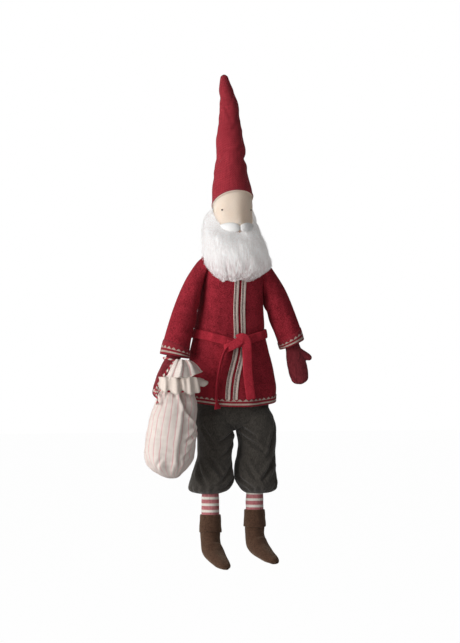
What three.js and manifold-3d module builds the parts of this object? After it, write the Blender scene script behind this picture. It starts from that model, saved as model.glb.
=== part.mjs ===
// A tall cloth Santa doll with a drawstring sack. Millimetres, +Z up, front towards -Y.
// Heights are counted from the toe tips; the finished doll hangs with its hat tip at the origin.
import * as THREE from 'three';
import { mergeVertices } from 'three/addons/utils/BufferGeometryUtils.js';
import Module from 'manifold-3d';

const wasm = await Module();
wasm.setup();

// Clearance and cloth
const GAP = 0.3;
const WOOL = 2; // boiled wool of tunic and sleeves
const COTTON = 1.5; // trouser cloth
const LINEN = 1.2; // hat and sack cloth
const SUEDE = 1.4;
const BRAID = 0.8; // braids and trims sewn on the wool

// Heights, stacked from the toes up
const TOE_TO_CUFF = 49;
const BOOT_CUFF = 23;
const SOCK_SHOWN = 28;
const TROUSER_LEG = 88;
const HIP_TO_HEM = 28.5;
const SKIRT = 84.5;
const BODICE = 94;
const COLLAR = 37;
const FACE = 74;
const HAT = 156;

// Widths and depths, as half-axes
const NECK = { a: 15, b: 14 };
const CHEST = { a: 40, b: 28 };
const WAIST = { a: 48, b: 27 };
const HEM = { a: 57.5, b: 35 };
const HEAD = 26.3;
const NOSE = 4.5;
const HIP_RADIUS = 27;
const LEG_SPACING = 31; // middle of the doll to the middle of a leg
const SOCK = 12;

const boots = { right: { toeTurn: 9, rise: 0 }, left: { toeTurn: 17, rise: 6 } };
const FOOT = 52;

// Arms: where each cuff hangs, seen from the front, and how far it leans forward
const SHOULDER_DISC = { y: 15, z: 25 };
const arms = {
  right: { side: -1, inner: [66.5, 281], outer: [104, 288], lean: 14, hand: [103, 233], thumb: -1 },
  left: { side: 1, inner: [66.6, 293], outer: [98.5, 307], lean: 4, hand: [94, 246], thumb: 1 },
};
const SLEEVE_DEPTH = 17.5;
const SLEEVE_DROP = 105; // shoulder to cuff, about
const MITTEN = { wrist: 10.5, palm: 14, depth: 7.5 };
const TRIM = 10.7;

const BELT = { width: 10.7, thick: 1.6, droop: 13 };
const BRAID_WIDTH = 6.7;
const BRAID_GAP = 2.8;
const BRAID_SLANT = 14;
const TAIL = { width: 11, left: 73, right: 87 };

const SACK = { x: -96, y: -37, half: 34.8, depth: 25, low: 123, neck: 240, neckA: 23, neckB: 11 };
const FRILL = { x: -79, y: -47, half: 33, depth: 10, rise: 41, pleats: 11, pleat: 0.07 };
const TWINE = 2.6;
const WINDING_TURNS = 2;

// Heights that follow
const bootTop = TOE_TO_CUFF + BOOT_CUFF;
const trouserHem = bootTop + SOCK_SHOWN;
const hip = trouserHem + TROUSER_LEG;
const hem = hip + HIP_TO_HEM;
const waist = hem + SKIRT;
const shoulder = waist + BODICE;
const neck = shoulder + COLLAR;
const brim = neck + FACE;
const tip = brim + HAT;

// Facets round a piece: small, ordinary and wide ones
const SLIM = 12;
const ROUND = 16;
const WIDE = 22;

const FAR = 200; // cutters reach this far
const SLIVER = 0.02; // facets thinner than this are closed up

const vec = (x, y, z) => new THREE.Vector3(x, y, z);
const turns = (share) => 2 * Math.PI * share;

// Rows of numbers made finer: each column runs through its own smooth curve.
function smooth(rows, steps) {
  const pick = (i) => rows[Math.min(Math.max(i, 0), rows.length - 1)];
  const fine = [];
  for (let i = 0; i < rows.length - 1; i++) {
    for (let s = 0; s < steps; s++) {
      const t = s / steps;
      fine.push(rows[i].map((_, c) => {
        const [p, q, r, w] = [i - 1, i, i + 1, i + 2].map((k) => pick(k)[c]);
        const slope = (2 * p - 5 * q + 4 * r - w) * t + (3 * q - p - 3 * r + w) * t * t;
        return q + 0.5 * t * (r - p + slope);
      }));
    }
  }
  return [...fine, rows[rows.length - 1]];
}

// One ring of points round a centre, with half-axes along two directions.
const ring = (centre, u, v, sides, shape = () => 1) =>
  Array.from({ length: sides }, (_, i) => {
    const angle = turns(i / sides);
    return centre.clone()
      .addScaledVector(u, Math.cos(angle) * shape(angle))
      .addScaledVector(v, Math.sin(angle) * shape(angle));
  });

const middleOf = (points) =>
  points.reduce((sum, p) => sum.add(p), vec(0, 0, 0)).divideScalar(points.length);

// A closed body through equal rings, with a flat cap at each end.
function skin(rings) {
  const sides = rings[0].length;
  const points = rings.flat();
  const faces = [];
  for (let k = 0; k < rings.length - 1; k++) {
    for (let i = 0; i < sides; i++) {
      const [a, b] = [k * sides + i, k * sides + (i + 1) % sides];
      faces.push(a, b, b + sides, a, b + sides, a + sides);
    }
  }
  for (const [start, flip] of [[0, true], [(rings.length - 1) * sides, false]]) {
    const middle = points.length;
    points.push(middleOf(points.slice(start, start + sides)));
    for (let i = 0; i < sides; i++) {
      const [a, b] = [start + i, start + (i + 1) % sides];
      faces.push(middle, flip ? b : a, flip ? a : b);
    }
  }
  const geometry = new THREE.BufferGeometry().setFromPoints(points);
  geometry.setIndex(faces);
  return geometry;
}

// The signed volume of a mesh; it is negative where the faces point in.
function volume({ vertProperties: p, triVerts: t }) {
  const at = (i) => vec(p[3 * i], p[3 * i + 1], p[3 * i + 2]);
  let sum = 0;
  for (let i = 0; i < t.length; i += 3) sum += at(t[i]).dot(at(t[i + 1]).cross(at(t[i + 2])));
  return sum / 6;
}

function solid(geometry) {
  const bare = geometry.index && !geometry.attributes.normal ? geometry : geometry.clone();
  bare.deleteAttribute('normal');
  bare.deleteAttribute('uv');
  const merged = mergeVertices(bare, 1e-5);
  const mesh = {
    numProp: 3,
    vertProperties: new Float32Array(merged.attributes.position.array),
    triVerts: new Uint32Array(merged.index.array),
  };
  if (volume(mesh) < 0) {
    for (let i = 0; i < mesh.triVerts.length; i += 3) {
      [mesh.triVerts[i], mesh.triVerts[i + 1]] = [mesh.triVerts[i + 1], mesh.triVerts[i]];
    }
  }
  return new wasm.Manifold(new wasm.Mesh(mesh));
}

// The largest single body of a cut solid, without its slivers, as a geometry.
function geometryOf(body) {
  const largest = body.asOriginal().simplify(SLIVER).decompose().sort((a, b) => b.volume() - a.volume())[0];
  const { vertProperties, triVerts } = largest.getMesh();
  const geometry = new THREE.BufferGeometry();
  geometry.setAttribute('position', new THREE.BufferAttribute(new Float32Array(vertProperties), 3));
  geometry.setIndex(Array.from(triVerts));
  geometry.computeVertexNormals();
  return geometry;
}

const box = (low, high) => {
  const size = high.map((h, i) => h - low[i]);
  const middle = high.map((h, i) => (h + low[i]) / 2);
  return solid(new THREE.BoxGeometry(...size).translate(...middle));
};

// Level ovals stacked up: each row is [z, x, y, a, b].
const upright = (rows, grow = 0, { steps = 1, sides = ROUND, shape } = {}) =>
  solid(skin(smooth(rows, steps).map(([z, x, y, a, b]) =>
    ring(vec(x, y, z), vec(Math.max(a + grow, 0.4), 0, 0), vec(0, Math.max(b + grow, 0.4), 0),
      sides, shape && ((angle) => shape(angle, z))))));

// The same rows with both ends pushed out, to cut or reach past an end.
const past = (rows, amount) => rows.map(([z, ...rest], i) => {
  const inward = i === 0 ? 1 : i === rows.length - 1 ? i - 1 : i;
  return [z + Math.sign(z - rows[inward][0]) * amount, ...rest];
});

// A prism seen from the front: the outline in X and Z, from y0 to y1.
function fromFront(outline, y0, y1) {
  const shape = new THREE.Shape(outline.map(([x, z]) => new THREE.Vector2(x, z)));
  const prism = new THREE.ExtrudeGeometry(shape, { depth: y1 - y0, bevelEnabled: false });
  return solid(prism.rotateX(Math.PI / 2).translate(0, y1, 0));
}

// An ellipsoid with these half-axes, grown all round and then moved into place.
const egg = (axes, grow, place, sides = 14) =>
  solid(place(new THREE.SphereGeometry(1, sides, sides / 2 + 1).scale(...axes.map((a) => a + grow))));

const bezier = (points) => new THREE.CubicBezierCurve(...points.map(([x, z]) => new THREE.Vector2(x, z)));
const cord = (points, steps, thickness = TWINE, sides = 8) => {
  const section = new THREE.Shape(Array.from({ length: sides }, (_, i) =>
    new THREE.Vector2(Math.cos(turns(i / sides)), Math.sin(turns(i / sides)))
      .multiplyScalar(thickness / 2)));
  const path = new THREE.CatmullRomCurve3(points.map((p) => vec(...p)));
  return solid(new THREE.ExtrudeGeometry(section, { steps, bevelEnabled: false, extrudePath: path }));
};

const doll = new THREE.Group();

function add(name, body, color, roughness = 0.9) {
  const material = new THREE.MeshStandardMaterial({ color, roughness, metalness: 0 });
  const mesh = new THREE.Mesh(geometryOf(body), material);
  mesh.name = name;
  doll.add(mesh);
}

const RED_WOOL = 0x7d1a26;
const RED_LINEN = 0x94263a;
const KNIT = 0x5a1c28;
const SKIN = 0xe9d3bb;
const FLEECE = 0xf0edeb;
const CREAM = 0xcdbfae;
const CHARCOAL = 0x33322e;
const BROWN = 0x4a2f20;
const SACKING = 0xd8c8ba;
const STRIPE = 0xc96b76;
const TWINE_RED = 0xb0273a;
const DARK = 0x2b211d;
const WADDING = 0xe8e2d8;

// Tunic: a bodice that is flat where the sleeves meet it, and a flared skirt
const tunicRows = [
  [hem, 0.5, 0, HEM.a, HEM.b],
  [hem + 0.35 * SKIRT, 0.5, 0, HEM.a + 1.5, HEM.b - 2],
  [hem + 0.75 * SKIRT, 0, 0, (WAIST.a + HEM.a) / 2 - 1, (WAIST.b + HEM.b) / 2 - 1],
  [waist, -0.5, 0, WAIST.a, WAIST.b],
  [waist + 0.4 * BODICE, 0, 0, (WAIST.a + CHEST.a) / 2 - 0.8, (WAIST.b + CHEST.b) / 2],
  [shoulder - SHOULDER_DISC.z, 0, -1, CHEST.a, CHEST.b],
  [shoulder, 0, -1, CHEST.a, CHEST.b],
  [shoulder + SHOULDER_DISC.z, 0, 0, CHEST.a, CHEST.b - 5],
  [neck - 0.1 * COLLAR, 0, 0, NECK.a + 6, NECK.b + 6],
  [neck, 0, 0, NECK.a + WOOL + 1, NECK.b + WOOL + 1],
];
// The bodice is squarer than the skirt, so that its sides lie flat against the sleeves
const squareness = (z) => (z > waist && z < neck - 0.2 * COLLAR ? 4 : 2.3);
const boxy = (angle, z) => {
  const power = squareness(z);
  return (Math.abs(Math.cos(angle)) ** power + Math.abs(Math.sin(angle)) ** power) ** (-1 / power);
};
const tunicShape = (grow, rows = tunicRows) => upright(rows, grow, { sides: WIDE, shape: boxy });
const tunicOuter = tunicShape(0);

// A round disc-ended bar through both armholes
const armholeBar = (grow, half) => solid(
  new THREE.CylinderGeometry(1, 1, 2 * half, ROUND)
    .rotateZ(Math.PI / 2)
    .scale(1, SHOULDER_DISC.y - WOOL - GAP + grow, SHOULDER_DISC.z - WOOL - 4 * GAP + grow)
    .translate(0, 0, shoulder));

const torsoRows = [
  [hem + 6, 0, 0, HIP_RADIUS + 8, HIP_RADIUS - 7],
  [hem + 0.35 * SKIRT, 0, 0, WAIST.a - 6, WAIST.b - 5],
  ...tunicRows.slice(3).map(([z, x, y, a, b]) => [z, x, y, a - WOOL - GAP, b - WOOL - GAP]),
];
const neckRows = [
  [neck - 1, 0, 0, NECK.a - WOOL / 2, NECK.b - WOOL / 2],
  [neck, 0, 0, NECK.a - WOOL / 2, NECK.b - WOOL / 2],
];
torsoRows.splice(-1, 1, ...neckRows);
const torso = tunicShape(0, torsoRows).add(armholeBar(0, CHEST.a));
add('torso_stuffing', torso, WADDING);

const cavity = tunicShape(-WOOL, past(tunicRows, 1));
add('tunic', tunicOuter.subtract(cavity).subtract(armholeBar(GAP, FAR))
  .subtract(upright(past(neckRows, 20), GAP)), RED_WOOL);

// A band that lies on the tunic between two distances from it, inside an outline
const onTunic = (low, high, cutter) => tunicShape(high).subtract(tunicShape(low)).intersect(cutter);
const hemBand = box([-FAR, -FAR, hem], [FAR, FAR, hem + TRIM]);
add('hem_trim', onTunic(GAP, GAP + BRAID, hemBand), CREAM);

for (const [name, side] of [['right', -1], ['left', 1]]) {
  const inner = BRAID_GAP / 2 * side + 1;
  const outer = inner + BRAID_WIDTH * side;
  const low = hem + TRIM + 2 * GAP;
  const high = shoulder + 8;
  const kneel = [waist, waist - BELT.droop];
  const outline = [
    [inner, high], [outer, high], [outer, kneel[0]],
    [outer - BRAID_SLANT, low], [inner - BRAID_SLANT, low], [inner, kneel[0]],
  ];
  add(`placket_braid_${name}`, onTunic(GAP, GAP + BRAID, fromFront(outline, -FAR, 0)), CREAM);
}

// Belt: level round the back, sinking to the knot in front
const beltTop = waist + 12 + BELT.width / 2;
const reach = WAIST.a + 12;
const beltLine = (top) => [
  [-reach, top], [-WAIST.a, top], [0, top - BELT.droop], [WAIST.a, top], [reach, top],
];
const beltOutline = [...beltLine(beltTop), ...beltLine(beltTop - BELT.width).reverse()];
const knotZ = beltTop - BELT.width / 2 - BELT.droop;
const beltLow = 2 * GAP + BRAID;
const beltCut = fromFront(beltOutline, -FAR, 0).add(box(
  [-reach, -0.01, beltTop - BELT.width], [reach, FAR, beltTop]));
const knot = (grow) => egg([18.5, 6.5, 7.5], grow, (g) =>
  g.rotateY(-0.3).translate(-4.5, -WAIST.b - 4, knotZ));
const braidCover = tunicShape(beltLow);
add('belt_band', onTunic(beltLow, beltLow + BELT.thick, beltCut).subtract(knot(GAP)), RED_WOOL);
add('belt_knot', knot(0).subtract(braidCover), RED_WOOL);

// Belt tails hang from the two ends of the knot and spread a little to their cut ends
const tailTop = knotZ - 4;
const tailRight = [
  [-23, tailTop - 3], [-14, tailTop - 3],
  [-36.5 + 0.8 * TAIL.width, knotZ - TAIL.right + 4], [-36.5, knotZ - TAIL.right],
];
const tailLeft = [
  [0, tailTop - 1], [TAIL.width, tailTop],
  [7 + TAIL.width, knotZ - TAIL.left + 3], [7, knotZ - TAIL.left],
];
const tail = (outline, low) =>
  onTunic(low, low + BELT.thick, fromFront(outline, -FAR, 0)).subtract(knot(GAP));
add('belt_tail_left', tail(tailLeft, beltLow), RED_WOOL);
add('belt_tail_right', tail(tailRight, beltLow), RED_WOOL);

// Legs: a rounded top that turns about the hip line, so that the thigh clears the seat
const legRows = (side, rise) => [
  [hip + 0.8, side * LEG_SPACING, 0, SOCK, SOCK],
  [trouserHem + 0.5 * TROUSER_LEG, side * LEG_SPACING, 0, SOCK + 1.5, SOCK + 1.5],
  [trouserHem, side * LEG_SPACING, 0, SOCK, SOCK],
  [bootTop + rise + 2, side * LEG_SPACING, 0, SOCK, SOCK],
  [bootTop + rise - 3, side * LEG_SPACING, 0, SOCK - SUEDE, SOCK - SUEDE],
  [TOE_TO_CUFF + rise - 6, side * LEG_SPACING, 0, SOCK - SUEDE - 0.6, SOCK - SUEDE - 0.6],
];
// The top of a leg is a dome that stays inside the turning circle of the hip
const DOME = [78, 60, 38, 18];
const trouserRows = (side) => {
  const x = side * LEG_SPACING;
  const out = HIP_RADIUS - 1;
  const dome = DOME.map((degrees) => {
    const angle = THREE.MathUtils.degToRad(degrees);
    return [hip + out * Math.sin(angle), x, 0, out * Math.cos(angle) ** 0.35, out * Math.cos(angle)];
  });
  return [
    ...dome,
    [hip, x, 0, out, out],
    [hip - 0.18 * TROUSER_LEG, x, 0, out - 0.5, out - 1],
    [hip - 0.42 * TROUSER_LEG, x + side, 0, out - 2.5, out - 3],
    [hip - 0.66 * TROUSER_LEG, x, 0, out + 1.5, out - 1],
    [trouserHem + 0.12 * TROUSER_LEG, x, 0, out + 4.3, out + 1],
    [trouserHem + 0.02 * TROUSER_LEG, x, 0, out - 3, out - 4],
    [trouserHem - 1.5, x, 0, SOCK + 5, SOCK + 5],
  ];
};
const seatRows = [
  [hip - 2, 0, 0, LEG_SPACING + HIP_RADIUS - 5, HIP_RADIUS - 5],
  [hem + 2, 0, 0, LEG_SPACING + HIP_RADIUS - 6, HIP_RADIUS - 3],
  [hem + 0.35 * SKIRT, 0, 0, WAIST.a - 6 + COTTON + GAP, WAIST.b - 5 + COTTON + GAP],
];
const hipSpace = (side) => {
  const inner = side * (LEG_SPACING - HIP_RADIUS + 1 - GAP);
  const [left, right] = [inner, inner + side * FAR].sort((a, b) => a - b);
  const round = HIP_RADIUS + 2 * GAP;
  const turning = solid(new THREE.CylinderGeometry(1, 1, FAR, 28)
    .rotateZ(Math.PI / 2)
    .scale(1, round, round)
    .translate((left + right) / 2, 0, hip));
  return turning.add(box([left, -FAR, 0], [right, 0, hip + round]));
};
const seat = upright(seatRows).subtract(tunicShape(GAP, past(torsoRows, 0.5)))
  .subtract(hipSpace(-1)).subtract(hipSpace(1));
add('trouser_seat', seat, CHARCOAL);

// Foot: the shaft goes down to the ankle and turns forward and down to a point
function bootShape(side, toeTurn, rise, grow) {
  const rows = smooth([
    [bootTop, 0, SOCK + 0.9, SOCK + 0.9, 0],
    [TOE_TO_CUFF, 0, SOCK + 1.6, SOCK + 1.6, 0],
    [0.68 * TOE_TO_CUFF, -0.02 * FOOT, SOCK + 1.6, SOCK + 2.2, 0.22],
    [0.43 * TOE_TO_CUFF, -0.16 * FOOT, SOCK + 2, SOCK + 5.5, 0.75],
    [0.28 * TOE_TO_CUFF, -0.46 * FOOT, SOCK + 1, SOCK - 2, 1.2],
    [0.16 * TOE_TO_CUFF, -0.77 * FOOT, SOCK - 1.5, SOCK - 5, 1.25],
    [0.08 * TOE_TO_CUFF, -0.98 * FOOT, 4, 2.6, 1.2],
  ], 2);
  const turned = rows.map(([z, y, a, b, pitch]) => ring(vec(0, y, z),
    vec(a + grow, 0, 0), vec(0, Math.cos(pitch), -Math.sin(pitch)).multiplyScalar(b + grow), ROUND));
  return solid(skin(turned).rotateZ(THREE.MathUtils.degToRad(toeTurn))
    .translate(side * LEG_SPACING, 0, rise));
}

for (const [name, side] of [['right', -1], ['left', 1]]) {
  const { toeTurn, rise } = boots[name];
  const sock = upright(legRows(side, rise), 0, { sides: ROUND });
  const sockGrown = upright(past(legRows(side, rise), GAP), GAP, { sides: ROUND });
  add(`leg_stuffed_${name}`, sock, STRIPE);
  const outer = upright(trouserRows(side));
  const inside = upright(
    trouserRows(side).map(([z, ...r], i) => [z + (i === 0 ? -COTTON : 0), ...r]), -COTTON);
  const elasticRows = [
    [trouserHem + 3, side * LEG_SPACING, 0, SOCK + 5 - COTTON, SOCK + 5 - COTTON],
    [trouserHem - 1, side * LEG_SPACING, 0, SOCK + 5 - COTTON, SOCK + 5 - COTTON],
  ];
  const gather = upright(past(elasticRows, 5), GAP, { sides: ROUND });
  add(`trouser_leg_${name}`, outer.subtract(inside).subtract(gather).subtract(sockGrown), CHARCOAL);
  add(`hem_elastic_${name}`, upright(elasticRows, -GAP, { sides: ROUND })
    .intersect(upright(past(trouserRows(side), 0.1), -COTTON - GAP, { sides: ROUND }))
    .subtract(sockGrown), CREAM);
  const boot = bootShape(side, toeTurn, rise, 0);
  add(`boot_${name}`, boot.subtract(sockGrown), BROWN);
  const cuffRows = [
    [bootTop + rise + 0.5, side * LEG_SPACING, 0, SOCK + 0.9 + GAP + SUEDE, SOCK + 0.9 + GAP + SUEDE],
    [TOE_TO_CUFF + rise, side * LEG_SPACING, 0, SOCK + 1.6 + GAP + SUEDE, SOCK + 1.6 + GAP + SUEDE],
  ];
  add(`boot_cuff_${name}`, upright(cuffRows, 0, { sides: ROUND })
    .subtract(bootShape(side, toeTurn, rise, GAP)).subtract(sockGrown), BROWN);
}

// Sleeve and arm: ovals whose ends run along an inner and an outer line seen from the front
function armLines({ side, inner, outer }) {
  const root = CHEST.a + GAP;
  const top = shoulder + SHOULDER_DISC.z;
  const under = shoulder - SHOULDER_DISC.z;
  const out = bezier([[root, top], [0.72 * root + 0.28 * outer[0], top - 6],
    [0.28 * root + 0.72 * outer[0], 0.55 * top + 0.45 * outer[1]], outer]);
  const low = bezier([[root, under], [0.86 * root + 0.14 * inner[0], 0.72 * under + 0.28 * inner[1]],
    [0.45 * root + 0.55 * inner[0], 0.4 * under + 0.6 * inner[1]], inner]);
  const point = (curve, t) => {
    const p = curve.getPoint(t);
    return vec(side * p.x, 0, p.y);
  };
  return { out: (t) => point(out, t), low: (t) => point(low, t) };
}
const leanAt = (lean, t) => -lean * t * t;

function sleeveShape(arm, grow, from = 0, to = 1, count = 9) {
  const lines = armLines(arm);
  const rings = [];
  for (let k = 0; k <= count; k++) {
    const t = from + (to - from) * k / count;
    const [o, l] = [lines.out(t), lines.low(t)];
    const half = o.clone().sub(l).multiplyScalar(0.5);
    const centre = o.clone().add(l).multiplyScalar(0.5).add(vec(0, leanAt(arm.lean, t), 0));
    const depth = SHOULDER_DISC.y + (SLEEVE_DEPTH - SHOULDER_DISC.y) * Math.min(1, 2.5 * t);
    rings.push(ring(centre, half.setLength(half.length() + grow), vec(0, depth + grow, 0), ROUND));
  }
  return rings;
}

// The last ring pushed along its own axis, so that a cutter comes out of the cuff
const longer = (rings, amount) => {
  const [a, b] = rings.slice(-2).map(middleOf);
  const step = b.sub(a).setLength(amount);
  return [...rings, rings[rings.length - 1].map((p) => p.clone().add(step))];
};

const cuffShare = TRIM / SLEEVE_DROP;
const handAxis = (arm) => {
  const cuff = vec(
    arm.side * (arm.inner[0] + arm.outer[0]) / 2, -arm.lean, (arm.inner[1] + arm.outer[1]) / 2);
  const end = vec(arm.side * arm.hand[0], -arm.lean - 5, arm.hand[1]);
  return { cuff, end };
};

for (const name of ['right', 'left']) {
  const arm = arms[name];
  const outerRings = sleeveShape(arm, 0);
  const innerRings = sleeveShape(arm, -WOOL, -0.03);
  const sleeve = solid(skin(outerRings)).subtract(solid(skin(longer(innerRings, 4))))
    .subtract(armholeBar(GAP, CHEST.a + 6));
  const side = arm.side;
  add(`sleeve_${name}`, sleeve, RED_WOOL);

  // Trim: a band round the last stretch of the sleeve
  const from = 1 - cuffShare;
  const trim = solid(skin(sleeveShape(arm, GAP + BRAID, from, 1, 3)))
    .subtract(solid(skin(longer(sleeveShape(arm, GAP, from - 0.04, 1, 4), 2))));
  add(`cuff_trim_${name}`, trim, CREAM);

  // Mitten: flat, round at the fingers, its wrist up inside the cuff
  const { cuff, end } = handAxis(arm);
  const along = end.clone().sub(cuff).normalize();
  const across = vec(1, 0, 0).addScaledVector(along, -along.x).normalize();
  const length = end.distanceTo(cuff);
  const rows = smooth([
    [-10, MITTEN.wrist - 1, MITTEN.depth], [0, MITTEN.wrist, MITTEN.depth],
    [0.35 * length, MITTEN.palm - 0.5, MITTEN.depth], [0.65 * length, MITTEN.palm, MITTEN.depth],
    [length - 0.45 * MITTEN.palm, 0.78 * MITTEN.palm, 0.85 * MITTEN.depth],
    [length, 0.25 * MITTEN.palm, 0.3 * MITTEN.depth],
  ], 2);
  const palm = solid(skin(rows.map(([d, a, b]) =>
    ring(cuff.clone().addScaledVector(along, d), across.clone().multiplyScalar(a), vec(0, b, 0), ROUND))));
  const thumbSide = side * arm.thumb;
  const thumbRoot = cuff.clone().addScaledVector(along, 0.22 * length)
    .addScaledVector(across, thumbSide * 5);
  const thumbTip = cuff.clone().addScaledVector(along, 0.42 * length)
    .addScaledVector(across, thumbSide * (MITTEN.palm + 8));
  const thumbWay = thumbTip.clone().sub(thumbRoot);
  const thumbAcross = vec(-thumbWay.z, 0, thumbWay.x).normalize();
  const thumb = solid(skin(smooth([[0, 6], [0.6, 5.4], [0.92, 4], [1.1, 1]], 2).map(([t, r]) =>
    ring(thumbRoot.clone().addScaledVector(thumbWay, t), thumbAcross.clone().multiplyScalar(r),
      vec(0, r * 0.95, 0), SLIM))));
  add(`mitten_${name}`, palm.add(thumb), KNIT);

  // Stuffed arm: fills the armhole and narrows to the mitten's wrist
  const lines = armLines(arm);
  const rootRing = ring(vec(side * (CHEST.a + GAP), 0, shoulder),
    vec(0, 0, SHOULDER_DISC.z - WOOL - 4 * GAP), vec(0, SHOULDER_DISC.y - WOOL - GAP, 0), ROUND);
  const armRings = [rootRing];
  for (let k = 1; k <= 7; k++) {
    const t = 0.9 * k / 7;
    const [o, l] = [lines.out(t), lines.low(t)];
    const half = o.clone().sub(l).multiplyScalar(0.5);
    const centre = o.clone().add(l).multiplyScalar(0.5).add(vec(0, leanAt(arm.lean, t), 0));
    const wide = THREE.MathUtils.lerp(half.length() - WOOL - 3 * GAP, 10, Math.min(1, 1.3 * t));
    const deep = THREE.MathUtils.lerp(SHOULDER_DISC.y - WOOL - GAP, 9, Math.min(1, 1.3 * t));
    armRings.push(ring(centre, half.setLength(wide), vec(0, deep, 0), ROUND));
  }
  const wristTop = cuff.clone().addScaledVector(along, -10 - GAP);
  const wrist = ring(wristTop, across.clone().multiplyScalar(side * (MITTEN.wrist - 1.5)),
    vec(0, MITTEN.depth - 0.5, 0), ROUND);
  const armRingsBelow = armRings.filter((r) => middleOf(r).z > wristTop.z + 6);
  add(`arm_stuffed_${name}`, solid(skin([...armRingsBelow, wrist])), WADDING);
}

// Head: long and narrow, with a nose on the seam down its front
const headTop = brim + 40;
const headRows = [
  [neck + GAP, 0, 0, NECK.a, NECK.b],
  [neck + 0.14 * FACE, 0, -1, HEAD - 4, HEAD - 4],
  [neck + 0.4 * FACE, 0, -1, HEAD, HEAD],
  [brim - 0.25 * FACE, 0, -1, HEAD, HEAD],
  [brim, 0, -1, HEAD - 1.2, HEAD - 1.2],
  [brim + 18, -1.6, 0, HEAD - 5.6, HEAD - 5.6],
  [brim + 32, -2, 1, HEAD - 12, HEAD - 12],
  [headTop, -2, 2, 5, 5],
];
const noseZ = neck + 0.4 * FACE;
const ridge = (angle, z) => {
  const off = Math.abs(angle - turns(0.75));
  const rise = Math.exp(-(((z - noseZ) / (z < noseZ ? 5 : 12)) ** 2));
  return 1 + (0.25 + rise) * NOSE / HEAD * Math.exp(-((off / 0.2) ** 2)) * (z < brim - 6 ? 1 : 0);
};
const headShape = (grow) => upright(headRows, grow, { steps: 2, sides: 28, shape: ridge });
add('head', headShape(0), SKIN);
const headGrown = upright(past(headRows, 3), GAP, { steps: 2, sides: 28, shape: ridge });

const eyeZ = brim - 27;
const EYE_TURN = 49;
for (const [name, side] of [['right', -1], ['left', 1]]) {
  const angle = THREE.MathUtils.degToRad(EYE_TURN);
  const out = HEAD + 0.2;
  const eye = solid(new THREE.SphereGeometry(1.3, 8, 6)
    .translate(side * out * Math.sin(angle), -1 - out * Math.cos(angle), eyeZ));
  add(`eye_${name}`, eye.subtract(headGrown), DARK);
}
const mouthZ = neck + 0.27 * FACE;
const mouth = (grow) => egg([5, 2.4, 1], grow, (g) => g.translate(0, -1 - HEAD, mouthZ), 12);
add('mouth_stitch', mouth(0).subtract(headGrown), STRIPE);

// Moustache: two felt pods side by side under the nose
const pods = {};
for (const [name, side] of [['right', -1], ['left', 1]]) {
  const pod = (grow) => egg([12.5, 4.4, 6.4], grow, (g) => g
    .rotateY(side * 0.12)
    .rotateZ(side * 0.42)
    .translate(side * (12 + 2 * GAP), -HEAD + 0.5, noseZ - 5));
  const half = side > 0
    ? box([GAP / 2, -FAR, 0], [FAR, FAR, tip])
    : box([-FAR, -FAR, 0], [-GAP / 2, FAR, tip]);
  pods[name] = pod(GAP);
  add(`moustache_${name}`, pod(0).intersect(half).subtract(headGrown)
    .subtract(mouth(GAP)), FLEECE);
}

// Fleece: beard in front, hair behind, both round the lower head and down on the tunic
const fleeceRows = [
  [neck + 0.62 * FACE, 0, 1, HEAD + 2, HEAD + 1],
  [neck + 0.5 * FACE, 0, 0, HEAD + 8, HEAD + 6],
  [neck + 0.25 * FACE, 0, -4, HEAD + 12.5, HEAD + 10],
  [neck - 2, 0, -8, HEAD + 15.5, HEAD + 13],
  [shoulder + 16, 0, -14, HEAD + 17.5, HEAD + 12],
  [shoulder + 2, 0, -18, HEAD + 12, HEAD + 4],
  [shoulder - 7, 0, -24, HEAD - 4, HEAD - 10],
  [shoulder - 9.5, 0, -26, HEAD - 16, HEAD - 20],
];
const face = egg([21, 30, 27], 0, (g) => g.translate(0, -HEAD - 4, neck + 0.62 * FACE), 20);
const fleece = upright(fleeceRows, 0, { sides: WIDE }).subtract(headGrown).subtract(braidCover)
  .subtract(armholeBar(GAP, CHEST.a + GAP))
  .subtract(upright(past(neckRows, 12), GAP))
  .intersect(box([-CHEST.a, -FAR, 0], [CHEST.a, FAR, tip]));
const splitY = 4;
const beard = fleece.intersect(box([-FAR, -FAR, 0], [FAR, splitY, tip])).subtract(face)
  .subtract(pods.right).subtract(pods.left).subtract(mouth(2 * GAP));
add('beard', beard, FLEECE);
const hairRows = [
  [neck + 0.5 * FACE, 0, 3, HEAD + 4, HEAD + 4],
  [neck + 0.25 * FACE, 0, 4, HEAD + 9, HEAD + 8],
  [neck - 2, 0, 5, HEAD + 10, HEAD + 8],
  [shoulder + 18, 0, 10, HEAD + 6, HEAD - 2],
];
const hair = upright(hairRows, 0, { sides: WIDE }).subtract(headGrown).subtract(tunicShape(GAP))
  .subtract(upright(past(neckRows, 12), GAP))
  .intersect(box([-FAR, splitY + GAP, 0], [FAR, FAR, tip]));
add('hair', hair, FLEECE);

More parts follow.
